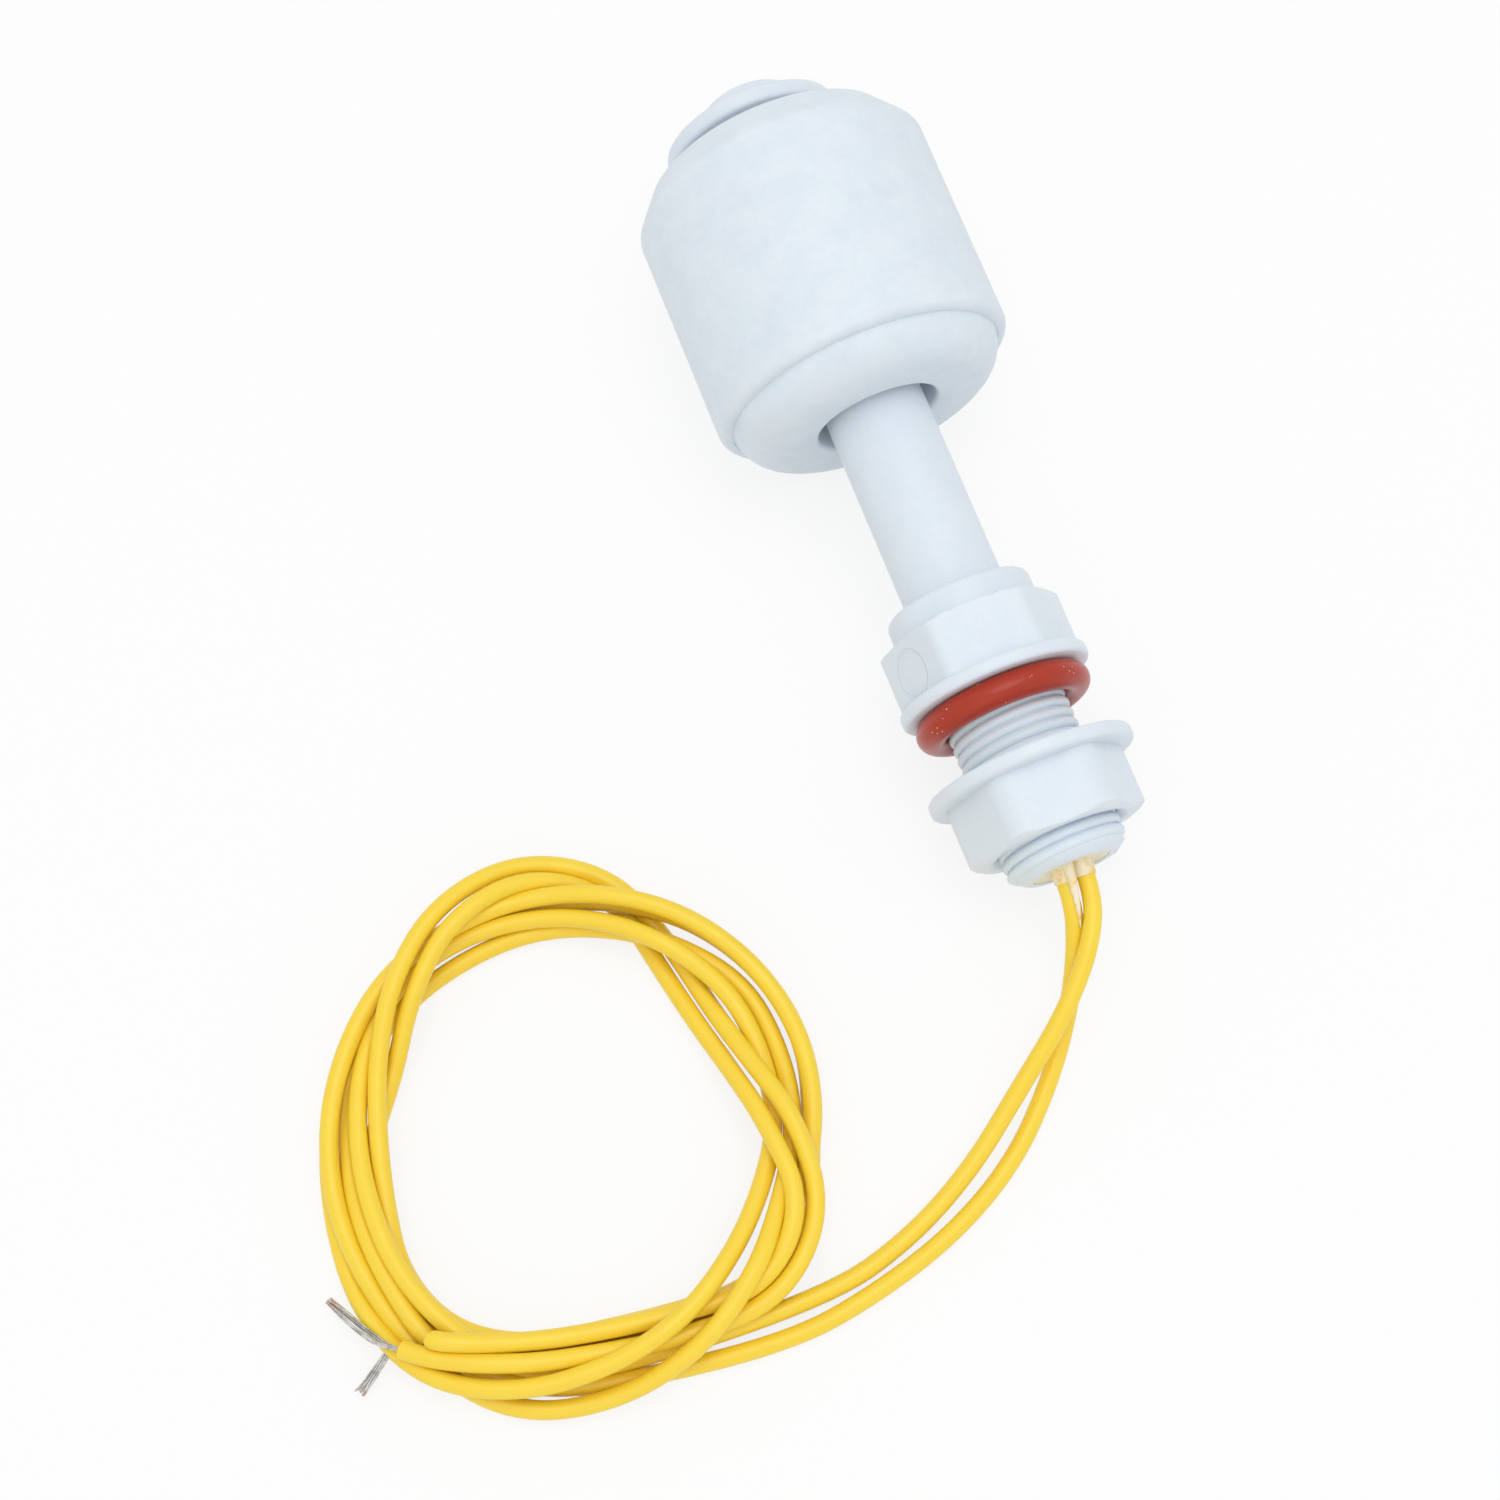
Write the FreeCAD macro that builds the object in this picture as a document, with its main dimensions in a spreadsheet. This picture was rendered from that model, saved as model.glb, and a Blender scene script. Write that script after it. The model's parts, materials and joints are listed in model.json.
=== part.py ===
import FreeCAD, Part
import math
import os
import re
import Sketcher

# Float level switch: a magnet float on a stem, a reed switch in the stem, and a threaded tail
# with lock nut, potted wires and a coil of spare wire. Millimetres throughout.
#
# Every piece of the switch is modelled about the stem's own Z axis, with z = 0 on the sealing
# face under the flange and the float above it. One common placement then lays the switch on the
# ground, resting on the float's lower rim and on the lock nut's flange, with the float towards +Y.

V = FreeCAD.Vector
doc = FreeCAD.newDocument("float_level_switch")
sheet = doc.addObject("Spreadsheet::Sheet", "Sizes")

SIZES = [
    # stem and body
    ("stem_wide", 7.9, "stem diameter"),
    ("stem_tip", 52.8, "height of the stem's tip above the sealing face"),
    ("tip_chamfer", 0.5, "chamfer on the stem's tip"),
    ("collar_wide", 11.5, "collar that stops the float"),
    ("collar_high", 2.2, "collar above the hexagon"),
    ("collar_round", 0.35, "rounding of the collar's edge"),
    ("hex_flats", 12.7, "hexagon across flats, body and nut"),
    ("hex_corners", "=hex_flats * 2 / sqrt(3)", "the same across corners, before they are rounded"),
    ("hex_high", 4.7, "length of the body's hexagon"),
    ("hex_round", 0.6, "rounding of the hexagon's corners"),
    ("hex_edge", 0.3, "chamfer on the hexagon's end"),
    ("hex_turn", 5.0, "turn of both hexagons about the axis, in degrees"),
    ("flange_over", 0.17, "how far the sealing flange stands out past the hexagon's corners"),
    ("flange_wide", "=hex_corners + 2 * flange_over", "sealing flange diameter"),
    ("flange_thick", 1.1, "sealing flange thickness"),
    ("flange_round", 0.2, "rounding of the flange's edges"),
    ("thread_wide", 9.5, "outside of the tail's thread"),
    ("thread_long", 14.3, "sealing face to the end of the tail"),
    ("tail_bevel_across", 1.1, "bevel at the tail's end, measured across"),
    ("tail_bevel_long", 0.8, "the same bevel, along the axis"),
    ("relief_wide", 9.1, "undercut beneath the flange, where the seal sits"),
    ("relief_long", 2.4, "length of the undercut"),
    ("tail_bore_wide", 6.0, "bore of the tail, filled with resin"),
    ("tail_bore_deep", 16.3, "depth of the tail's bore"),
    ("reed_bore_wide", 3.6, "blind bore for the reed switch"),
    ("reed_bore_deep", 32.0, "depth of that bore beyond the tail's bore"),
    # retaining clip
    ("clip_low", 49.3, "height of the clip's lower face"),
    ("clip_thick", 1.4, "clip thickness"),
    ("clip_wide", 14.3, "clip outside diameter"),
    ("clip_mouth", 5.0, "width of the clip's open side"),
    ("clip_round", 0.3, "rounding of the clip's edges"),
    ("clip_turn", 20.0, "direction of the clip's open side, in degrees"),
    ("clip_shift", 0.5, "how far the clip's outside is off its bore, away from the open side"),
    ("groove_wide", 6.2, "root diameter of the groove that holds the clip"),
    ("groove_gap", 0.05, "clearance between the clip and its groove"),
    # float
    ("float_low", 23.9, "height of the float's lower face at rest"),
    ("float_high", 23.3, "height of the whole float"),
    ("float_wide", 24.0, "float diameter"),
    ("float_bore", 9.8, "hole through the float"),
    ("bevel_across", 2.0, "bevel at the float's top, measured across"),
    ("bevel_long", 2.7, "the same bevel, measured along the axis"),
    ("rim_round", 0.8, "rounding of the shell's lower rim"),
    ("shell_wall", 1.4, "wall of the float's shell"),
    ("top_wall", 1.6, "thickness of the shell's top"),
    ("sleeve_wall", 1.0, "wall of the sleeve round the float's hole"),
    ("cap_inset", 1.0, "ledge of the shell's rim round the cap"),
    ("cap_wide", "=float_wide - 2 * cap_inset", "cap diameter"),
    ("cap_stand", 2.75, "how far the cap stands out below the shell"),
    ("cap_seat", 1.2, "how deep the cap sits in the shell"),
    ("cap_gap", 0.05, "clearance round the cap in its seat"),
    ("cap_wall", 1.3, "wall of the cap"),
    ("cap_round", 3.2, "rounding of the cap's outer edge"),
    ("magnet_clear", 0.1, "gap between the magnet and the cap's inner bevel"),
    ("magnet_wide", "=cap_wide - 2 * cap_wall - cap_round - 2 * magnet_clear",
     "magnet outside diameter"),
    ("magnet_high", 5.0, "magnet height"),
    ("magnet_gap", 0.05, "clearance between the magnet and the sleeve"),
    # seal and lock nut
    ("seal_wide", 13.9, "sealing ring outside diameter"),
    ("seal_thick", 2.3, "sealing ring section"),
    ("nut_stand", 5.95, "sealing face to the nut's flange at rest"),
    ("nut_high", 6.05, "nut height with its flange"),
    ("nut_flange_over", 0.77, "how far the nut's flange stands out past its corners"),
    ("nut_flange_wide", "=hex_corners + 2 * nut_flange_over", "nut flange diameter"),
    ("nut_flange_thick", 1.15, "nut flange thickness"),
    ("nut_flange_round", 0.3, "rounding of the nut flange's edges"),
    ("nut_gap", 0.05, "running clearance between the nut and the thread"),
    ("nut_mouth", 0.6, "countersink at the nut's ends"),
    ("nut_bevel_across", 0.9, "turned bevel on the nut's outer corners, across"),
    ("nut_bevel_long", 0.6, "the same bevel, along the axis"),
    # resin, glue and the reed switch
    ("resin_inset", 0.6, "resin face behind the tail's end"),
    ("resin_long", 9.7, "length of the resin plug"),
    ("resin_gap", 0.02, "gap between the resin and what it meets"),
    ("glue_wide", 2.1, "glue bead round a wire, diameter at the resin"),
    ("glue_high", 1.4, "height of the glue bead"),
    ("glue_lip", 1.56, "diameter of the bead where it ends on the wire"),
    ("spike_wide", 0.9, "drawn-out glue spike, diameter at its foot"),
    ("spike_tip", 0.1, "diameter of the spike's tip"),
    ("spike_high", 4.6, "length of the spike"),
    ("spike_lift", 0.6, "how far the spike stands above the wires' plane"),
    ("reed_low", 12.0, "height of the reed glass's lower end"),
    ("glass_long", 14.0, "length of the reed glass"),
    ("glass_wide", 2.2, "diameter of the reed glass"),
    ("glass_wall", 0.3, "wall of the reed glass"),
    ("glass_seal", 1.6, "solid glass at each end"),
    ("sleeve_gap", 0.02, "gap between the insulating sleeve and the glass"),
    ("reed_sleeve_wall", 0.2, "wall of the insulating sleeve"),
    ("sleeve_over", 0.5, "how far the sleeve runs past the glass"),
    ("blade_wide", 0.9, "reed blade width"),
    ("blade_thick", 0.25, "reed blade thickness"),
    ("blade_lap", 1.2, "overlap of the two blades"),
    ("contact_gap", 0.06, "gap between the open contacts"),
    ("lead_thick", 0.5, "diameter of the reed's leads"),
    ("lead_up", 2.6, "length of the upper reed's lead above the glass"),
    ("lead_straight", 6.0, "height at which the lower lead turns towards its wire"),
    ("lead_spread", 2.0, "height at which the leads are as far apart as the wires"),
    ("return_thick", 0.38, "diameter of the return lead"),
    ("return_out", 1.58, "return lead's distance from the axis"),
    ("return_rise", 1.2, "how far the return lead rises before it turns down"),
    ("solder_wide", 1.0, "solder joint diameter"),
    ("solder_long", 1.5, "solder joint length"),
    ("solder_top", -0.7, "height of the two lower solder joints' upper ends"),
    # wires
    ("wire_wide", 1.4, "diameter of an insulated wire"),
    ("wire_pitch", 1.6, "distance between the two wires where they leave the tail"),
    ("core_wide", 0.62, "diameter of a wire's bundle of bare strands"),
    ("core_flare", 0.8, "diameter of that bundle at its cut end"),
    ("core_bare", 1.2, "bare length inside the tail, up to the solder joint"),
    ("coil_high", 4.0, "height of the coil of wire"),
    ("coil_round", 1.2, "bevel on the coil's edges"),
]


ALIASES = {row[0] for row in SIZES}


def fill_sheet():
    """One row per size: its alias in column A, its value in B and what it is in C."""
    for row, (alias, value, meaning) in enumerate(SIZES, 1):
        sheet.set("A%d" % row, alias)
        sheet.set("B%d" % row, str(value))
        sheet.setAlias("B%d" % row, alias)
        sheet.set("C%d" % row, meaning)
    doc.recompute()


def size(text):
    """The value of an expression on the sheet's aliases, such as 'stem_wide / 2'."""
    return float(sheet.evalExpression(text))


def bound(text):
    """The same expression as another object writes it, with the sheet's name before each alias."""
    return re.sub(r"\w+", lambda word: "Sizes." + word[0] if word[0] in ALIASES else word[0], text)


def rest_placement():
    """Lays the switch down: the float's rim and the lock nut's flange touch the ground."""
    rim_centre = size("float_wide / 2 - rim_round")
    rim_height = size("float_low + cap_stand + rim_round")
    nut_centre = size("nut_flange_wide / 2 - nut_flange_round")
    nut_height = -size("nut_stand + nut_flange_thick - nut_flange_round")
    along = rim_height - nut_height
    across = rim_centre - nut_centre
    extra = size("rim_round - nut_flange_round")
    tilt = math.asin(extra / math.hypot(along, across)) + math.atan2(across, along)
    axis_height = rim_centre * math.cos(tilt) + size("rim_round") - rim_height * math.sin(tilt)
    tip = size("stem_tip") * math.cos(tilt) + size("stem_wide / 2 - tip_chamfer") * math.sin(tilt)
    tail_edge = size("thread_wide / 2 - tail_bevel_across")
    tail = size("thread_long") * math.cos(tilt) + tail_edge * math.sin(tilt)
    turn = FreeCAD.Rotation(V(1, 0, 0), math.degrees(tilt) - 90)
    return FreeCAD.Placement(V(0, (tail - tip) / 2, axis_height), turn)


def new_body(label):
    """A PartDesign body laid at the switch's rest placement."""
    body = doc.addObject("PartDesign::Body", label)
    body.Label = label
    body.Placement = REST
    return body


def sketch_on(body, role, name, height=None):
    """A sketch on one of the body's own origin planes, raised to a height if one is given."""
    sketch = body.newObject("Sketcher::SketchObject", name)
    plane = [o for o in body.Origin.OriginFeatures if o.Role == role][0]
    sketch.AttachmentSupport = [(plane, "")]
    sketch.MapMode = "FlatFace"
    if height:
        sketch.setExpression("AttachmentOffset.Base.z", bound(height))
    return sketch


def pin_point(sketch, geometry, point, across, up):
    """Ties a point of the sketch to two expressions."""
    for kind, letter, text in (("DistanceX", "x", across), ("DistanceY", "y", up)):
        value = size(text)
        index = sketch.addConstraint(Sketcher.Constraint(kind, -1, 1, geometry, point, value))
        name = "%s%d" % (letter, index)
        sketch.renameConstraint(index, name)
        sketch.setExpression("Constraints." + name, bound(text))


def draw_polygon(sketch, corners):
    """A closed outline through corners, each a pair of expressions."""
    first = len(sketch.Geometry)
    places = [V(size(across), size(up), 0) for across, up in corners]
    count = len(corners)
    for i in range(count):
        sketch.addGeometry(Part.LineSegment(places[i], places[(i + 1) % count]))
    for i in range(count):
        joint = Sketcher.Constraint("Coincident", first + i, 2, first + (i + 1) % count, 1)
        sketch.addConstraint(joint)
    for i, (across, up) in enumerate(corners):
        pin_point(sketch, first + i, 1, across, up)


def draw_circle(sketch, across, up, radius):
    """A circle whose centre and radius are expressions."""
    centre = V(size(across), size(up), 0)
    index = sketch.addGeometry(Part.Circle(centre, V(0, 0, 1), size(radius)))
    pin_point(sketch, index, 3, across, up)
    number = sketch.addConstraint(Sketcher.Constraint("Radius", index, size(radius)))
    name = "radius%d" % number
    sketch.renameConstraint(number, name)
    sketch.setExpression("Constraints." + name, bound(radius))


def spun(body, name, corners, kind="PartDesign::Revolution"):
    """Turns an outline of (radius, height) expressions about the axis, as a solid or a groove."""
    sketch = sketch_on(body, "XZ_Plane", name + "_outline")
    draw_polygon(sketch, corners)
    feature = body.newObject(kind, name)
    feature.Profile = sketch
    feature.ReferenceAxis = (sketch, ["V_Axis"])
    feature.Angle = 360
    body.Tip = feature
    doc.recompute()
    return feature


def padded(body, name, height, length, draw, kind="PartDesign::Pad"):
    """Draws on a plane at a height across the axis and pads or pockets it upwards."""
    sketch = sketch_on(body, "XY_Plane", name + "_outline", height)
    draw(sketch)
    feature = body.newObject(kind, name)
    feature.Profile = sketch
    feature.setExpression("Length", bound(length))
    if kind == "PartDesign::Pocket":
        feature.Reversed = True
    body.Tip = feature
    doc.recompute()
    return feature


def finish_edges(body, name, kind, edges, amount):
    """Rounds or chamfers the listed edges of the body's last feature."""
    base = body.Tip
    feature = body.newObject(kind, name)
    feature.Base = (base, edges)
    feature.setExpression("Radius" if kind.endswith("Fillet") else "Size", bound(amount))
    body.Tip = feature
    doc.recompute()
    return feature


def rings_at(body, *wanted):
    """Names of the round edges at each (radius, height) pair of expressions."""
    found = []
    for radius, height in ((size(r), size(h)) for r, h in wanted):
        for number, edge in enumerate(body.Tip.Shape.Edges, 1):
            curve = edge.Curve
            if not isinstance(curve, Part.Circle) or abs(curve.Radius - radius) > SNAP:
                continue
            if abs(curve.Center.z - height) < SNAP:
                found.append("Edge%d" % number)
    return found


def uprights_at(body, radius):
    """Names of the straight edges parallel to the axis at a distance from it."""
    found = []
    for number, edge in enumerate(body.Tip.Shape.Edges, 1):
        low, high = edge.Vertexes[0].Point, edge.Vertexes[-1].Point
        if abs(low.x - high.x) + abs(low.y - high.y) > SNAP or abs(low.z - high.z) < SNAP:
            continue
        if abs(math.hypot(low.x, low.y) - size(radius)) < SNAP:
            found.append("Edge%d" % number)
    return found


def flats_at(body, height):
    """Names of the straight edges that lie across the axis at a height."""
    found = []
    for number, edge in enumerate(body.Tip.Shape.Edges, 1):
        box = edge.BoundBox
        straight = isinstance(edge.Curve, Part.Line)
        if straight and abs(box.ZMin - size(height)) < SNAP and abs(box.ZMax - size(height)) < SNAP:
            found.append("Edge%d" % number)
    return found


def hexagon(sketch):
    """The hexagon of the body and the nut, a corner towards +X when its turn is nought."""
    corners = []
    for i in range(6):
        angle = "(%d deg - hex_turn * 1 deg)" % (60 * i)
        reach = "hex_corners / 2"
        corners.append(("%s * cos%s" % (reach, angle), "%s * sin%s" % (reach, angle)))
    draw_polygon(sketch, corners)


def make_switch_body():
    """One moulding: stem, collar, hexagon, flange and hollow threaded tail."""
    body = new_body("switch_body")
    spun(body, "outside", [
        ("0", "-thread_long"),
        ("thread_wide / 2 - tail_bevel_across", "-thread_long"),
        ("thread_wide / 2", "tail_bevel_long - thread_long"),
        ("thread_wide / 2", "-relief_long"),
        ("relief_wide / 2", "-relief_long"),
        ("relief_wide / 2", "0"),
        ("flange_wide / 2", "0"),
        ("flange_wide / 2", "flange_thick"),
        ("collar_wide / 2", "flange_thick"),
        ("collar_wide / 2", "flange_thick + hex_high + collar_high"),
        ("stem_wide / 2", "flange_thick + hex_high + collar_high"),
        ("stem_wide / 2", "clip_low - groove_gap"),
        ("groove_wide / 2", "clip_low - groove_gap"),
        ("groove_wide / 2", "clip_low + clip_thick + groove_gap"),
        ("stem_wide / 2", "clip_low + clip_thick + groove_gap"),
        ("stem_wide / 2", "stem_tip"),
        ("0", "stem_tip"),
    ])
    padded(body, "hexagon", "flange_thick", "hex_high", hexagon)
    finish_edges(body, "hexagon_corners", "PartDesign::Fillet",
                 uprights_at(body, "hex_corners / 2"), "hex_round")
    finish_edges(body, "hexagon_end", "PartDesign::Chamfer",
                 flats_at(body, "flange_thick + hex_high"), "hex_edge")
    finish_edges(body, "collar_edge", "PartDesign::Fillet",
                 rings_at(body, ("collar_wide / 2", "flange_thick + hex_high + collar_high")),
                 "collar_round")
    finish_edges(body, "flange_edges", "PartDesign::Fillet",
                 rings_at(body, ("flange_wide / 2", "0"), ("flange_wide / 2", "flange_thick")),
                 "flange_round")
    finish_edges(body, "tip_edge", "PartDesign::Chamfer",
                 rings_at(body, ("stem_wide / 2", "stem_tip")), "tip_chamfer")
    spun(body, "bores", [
        ("0", "-thread_long"),
        ("tail_bore_wide / 2", "-thread_long"),
        ("tail_bore_wide / 2", "tail_bore_deep - thread_long"),
        ("reed_bore_wide / 2", "tail_bore_deep - thread_long"),
        ("reed_bore_wide / 2", "tail_bore_deep - thread_long + reed_bore_deep"),
        ("0", "tail_bore_deep - thread_long + reed_bore_deep"),
    ], "PartDesign::Groove")
    return body


def make_retaining_clip():
    """A C-shaped stop clip, open on one side so that it snaps into the stem's groove.

    Its outside is off its bore, so that it is thickest opposite the open side.
    """
    body = new_body("retaining_clip")

    def ring(sketch):
        draw_circle(sketch, "-clip_shift * cos(clip_turn * 1 deg)",
                    "-clip_shift * sin(clip_turn * 1 deg)", "clip_wide / 2")
        draw_circle(sketch, "0", "0", "groove_wide / 2 + groove_gap")

    padded(body, "ring", "clip_low", "clip_thick", ring)
    finish_edges(body, "edges", "PartDesign::Fillet",
                 rings_at(body, ("clip_wide / 2", "clip_low"),
                          ("clip_wide / 2", "clip_low + clip_thick")), "clip_round")

    def mouth(sketch):
        corners = []
        for along, across in ((0, -1), (1, -1), (1, 1), (0, 1)):
            reach = "%d * clip_wide" % along
            half = "%d * clip_mouth / 2" % across
            turn = "(clip_turn * 1 deg)"
            corners.append(("%s * cos%s - %s * sin%s" % (reach, turn, half, turn),
                            "%s * sin%s + %s * cos%s" % (reach, turn, half, turn)))
        draw_polygon(sketch, corners)

    padded(body, "mouth", "clip_low", "clip_thick", mouth, "PartDesign::Pocket")
    return body


def make_float_shell():
    """The float's hollow shell: bevelled top, rounded lower rim and a sleeve round the hole."""
    body = new_body("float_shell")
    top = "float_low + float_high"
    rim = "float_low + cap_stand"
    inside = "float_wide / 2 - shell_wall"
    seat = "cap_wide / 2 + cap_gap"
    sleeve = "float_bore / 2 + sleeve_wall"
    spun(body, "shell", [
        ("float_bore / 2", "float_low + cap_wall"),
        (sleeve, "float_low + cap_wall"),
        (sleeve, top + " - top_wall"),
        (inside + " - bevel_across", top + " - top_wall"),
        (inside, top + " - top_wall - bevel_long / 2"),
        (inside, rim + " + cap_seat"),
        (seat, rim + " + cap_seat"),
        (seat, rim),
        ("float_wide / 2", rim),
        ("float_wide / 2", top + " - bevel_long"),
        ("float_wide / 2 - bevel_across", top),
        ("float_bore / 2", top),
    ])
    finish_edges(body, "rim", "PartDesign::Fillet",
                 rings_at(body, ("float_wide / 2", rim)), "rim_round")
    return body


def make_float_cap():
    """The domed cap that closes the float's lower end, a dish with the hole in its middle."""
    body = new_body("float_cap")
    seat = "float_low + cap_stand + cap_seat"
    inside = "cap_wide / 2 - cap_wall"
    spun(body, "dish", [
        ("float_bore / 2", "float_low"),
        ("cap_wide / 2", "float_low"),
        ("cap_wide / 2", seat),
        (inside, seat),
        (inside, "float_low + cap_wall + cap_round / 2"),
        (inside + " - cap_round / 2", "float_low + cap_wall"),
        ("float_bore / 2", "float_low + cap_wall"),
    ])
    finish_edges(body, "edge", "PartDesign::Fillet",
                 rings_at(body, ("cap_wide / 2", "float_low")), "cap_round")
    return body


def make_float_magnet():
    """Ring magnet that stands on the cap, round the float's sleeve."""
    body = new_body("float_magnet")
    inside = "float_bore / 2 + sleeve_wall + magnet_gap"
    low = "float_low + cap_wall"
    spun(body, "ring", [
        (inside, low),
        ("magnet_wide / 2", low),
        ("magnet_wide / 2", low + " + magnet_high"),
        (inside, low + " + magnet_high"),
    ])
    return body


def make_sealing_ring():
    """The O-ring that lies in the undercut against the flange."""
    body = new_body("sealing_ring")
    sketch = sketch_on(body, "XZ_Plane", "section")
    draw_circle(sketch, "(seal_wide - seal_thick) / 2", "-seal_thick / 2", "seal_thick / 2")
    ring = body.newObject("PartDesign::Revolution", "ring")
    ring.Profile = sketch
    ring.ReferenceAxis = (sketch, ["V_Axis"])
    ring.Angle = 360
    body.Tip = ring
    return body


def make_lock_nut():
    """Flanged hexagon nut, its flange towards the seal and its outer corners turned off."""
    body = new_body("lock_nut")
    face = "-nut_stand"
    end = "-nut_stand - nut_high"
    padded(body, "hexagon", end, "nut_high - nut_flange_thick", hexagon)
    finish_edges(body, "hexagon_corners", "PartDesign::Fillet",
                 uprights_at(body, "hex_corners / 2"), "hex_round")
    corner = "hex_corners / 2"
    spun(body, "end_bevel", [
        (corner + " - nut_bevel_across", end),
        (corner + " + nut_bevel_across", end),
        (corner + " + nut_bevel_across", end + " + 2 * nut_bevel_long"),
    ], "PartDesign::Groove")
    spun(body, "flange", [
        ("0", face + " - nut_flange_thick"),
        ("nut_flange_wide / 2", face + " - nut_flange_thick"),
        ("nut_flange_wide / 2", face),
        ("0", face),
    ])
    finish_edges(body, "flange_edges", "PartDesign::Fillet",
                 rings_at(body, ("nut_flange_wide / 2", face),
                          ("nut_flange_wide / 2", face + " - nut_flange_thick")),
                 "nut_flange_round")
    bore = "thread_wide / 2 + nut_gap"
    spun(body, "bore", [
        ("0", end),
        (bore + " + nut_mouth", end),
        (bore, end + " + nut_mouth"),
        (bore, face + " - nut_mouth / 2"),
        (bore + " + nut_mouth / 2", face),
        ("0", face),
    ], "PartDesign::Groove")
    return body


def make_potting_plug():
    """Cream resin in the tail's bore, with a hole for each wire."""
    body = new_body("potting_plug")
    face = "resin_inset - thread_long"
    edge = "tail_bore_wide / 2 - resin_gap"
    spun(body, "plug", [("0", face), (edge, face), (edge, face + " + resin_long"),
                        ("0", face + " + resin_long")])

    def wire_holes(sketch):
        for side in (-1, 1):
            draw_circle(sketch, "%d * wire_pitch / 2" % side, "0", "wire_wide / 2 + resin_gap")

    padded(body, "wire_holes", face, "resin_long", wire_holes, "PartDesign::Pocket")
    return body


def cylinder(name, radius, length, across, up):
    """A Part cylinder along the switch's axis, its foot at two expressions."""
    piece = doc.addObject("Part::Cylinder", name)
    piece.setExpression("Radius", bound(radius))
    piece.setExpression("Height", bound(length))
    piece.Placement = REST.multiply(FreeCAD.Placement(V(size(across), 0, size(up)), UNTURNED))
    return piece


def cone(name, foot, tip, length, place):
    """A Part cone whose two diameters and length are expressions."""
    piece = doc.addObject("Part::Cone", name)
    piece.setExpression("Radius1", bound(foot + " / 2"))
    piece.setExpression("Radius2", bound(tip + " / 2"))
    piece.setExpression("Height", bound(length))
    piece.Placement = place
    return piece


def make_glue_bead():
    """Clear glue: a cone round each wire at the resin's face and a spike drawn out between them."""
    face = size("resin_inset - thread_long")
    outwards = FreeCAD.Rotation(V(1, 0, 0), 180)
    cones = []
    for side in SIDES:
        foot = V(SIDES[side] * size("wire_pitch / 2"), 0, face)
        place = REST.multiply(FreeCAD.Placement(foot, outwards))
        cones.append(cone("glue_cone_" + side, "glue_wide", "glue_lip", "glue_high", place))
    place = REST.multiply(FreeCAD.Placement(V(0, -size("spike_lift"), face), outwards))
    cones.append(cone("glue_spike", "spike_wide", "spike_tip", "spike_high", place))
    lump = doc.addObject("Part::MultiFuse", "glue_lump")
    lump.Shapes = cones
    holes = []
    for side in SIDES:
        holes.append(cylinder("glue_hole_" + side, "wire_wide / 2 + resin_gap", "spike_high * 2",
                              "%d * wire_pitch / 2" % SIDES[side],
                              "resin_inset - thread_long - spike_high - spike_high / 2"))
    both = doc.addObject("Part::MultiFuse", "glue_holes")
    both.Shapes = holes
    bead = doc.addObject("Part::Cut", "glue_bead")
    bead.Base = lump
    bead.Tool = both
    return bead


def make_wire_tail(side):
    """The potted end of one wire: insulation through the resin, then the bare bundle."""
    across = "%d * wire_pitch / 2" % SIDES[side]
    solder_foot = "solder_top - solder_long"
    face = "resin_inset - thread_long"
    bare = cylinder("wire_core_" + side, "core_wide / 2", "core_bare",
                    across, solder_foot + " - core_bare")
    cover = cylinder("wire_cover_" + side, "wire_wide / 2",
                     solder_foot + " - core_bare - (%s)" % face, across, face)
    tail = doc.addObject("Part::Fuse", "wire_tail_" + side)
    tail.Base = cover
    tail.Tool = bare
    return tail


def make_reed_glass():
    """The reed switch's glass: a tube closed at both ends round the leads."""
    body = new_body("reed_glass")
    outside, inside = "glass_wide / 2", "glass_wide / 2 - glass_wall"
    high = "reed_low + glass_long"
    spun(body, "tube", [
        ("lead_thick / 2", "reed_low"),
        (outside, "reed_low"),
        (outside, high),
        ("lead_thick / 2", high),
        ("lead_thick / 2", high + " - glass_seal"),
        (inside, high + " - glass_seal"),
        (inside, "reed_low + glass_seal"),
        ("lead_thick / 2", "reed_low + glass_seal"),
    ])
    return body


def make_reed_sleeve():
    """Thin insulating sleeve round the glass, a little longer than it."""
    body = new_body("reed_sleeve")
    inside = "glass_wide / 2 + sleeve_gap"
    outside = inside + " + reed_sleeve_wall"
    low, high = "reed_low - sleeve_over", "reed_low + glass_long + sleeve_over"
    spun(body, "sleeve", [(inside, low), (outside, low), (outside, high), (inside, high)])
    return body


def smooth_path(points, told=None):
    """Straight runs through the points, joined by tangent arcs as large as the runs allow."""
    edges, start = [], points[0]
    for before, corner, after in zip(points, points[1:], points[2:]):
        back, ahead = before - corner, after - corner
        reach = ARC_SHARE * min(back.Length, ahead.Length)
        half_turn = (math.pi - back.getAngle(ahead)) / 2
        radius = reach / math.tan(half_turn)
        back.normalize()
        ahead.normalize()
        middle = back + ahead
        middle.normalize()
        arc_start, arc_end = corner + back * reach, corner + ahead * reach
        crown = corner + middle * (radius / math.cos(half_turn) - radius)
        edges.append(Part.LineSegment(start, arc_start).toShape())
        edges.append(Part.Arc(arc_start, crown, arc_end).toShape())
        start = arc_end
        if told is not None:
            told.append(radius)
    edges.append(Part.LineSegment(start, points[-1]).toShape())
    return Part.Wire(edges)


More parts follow.
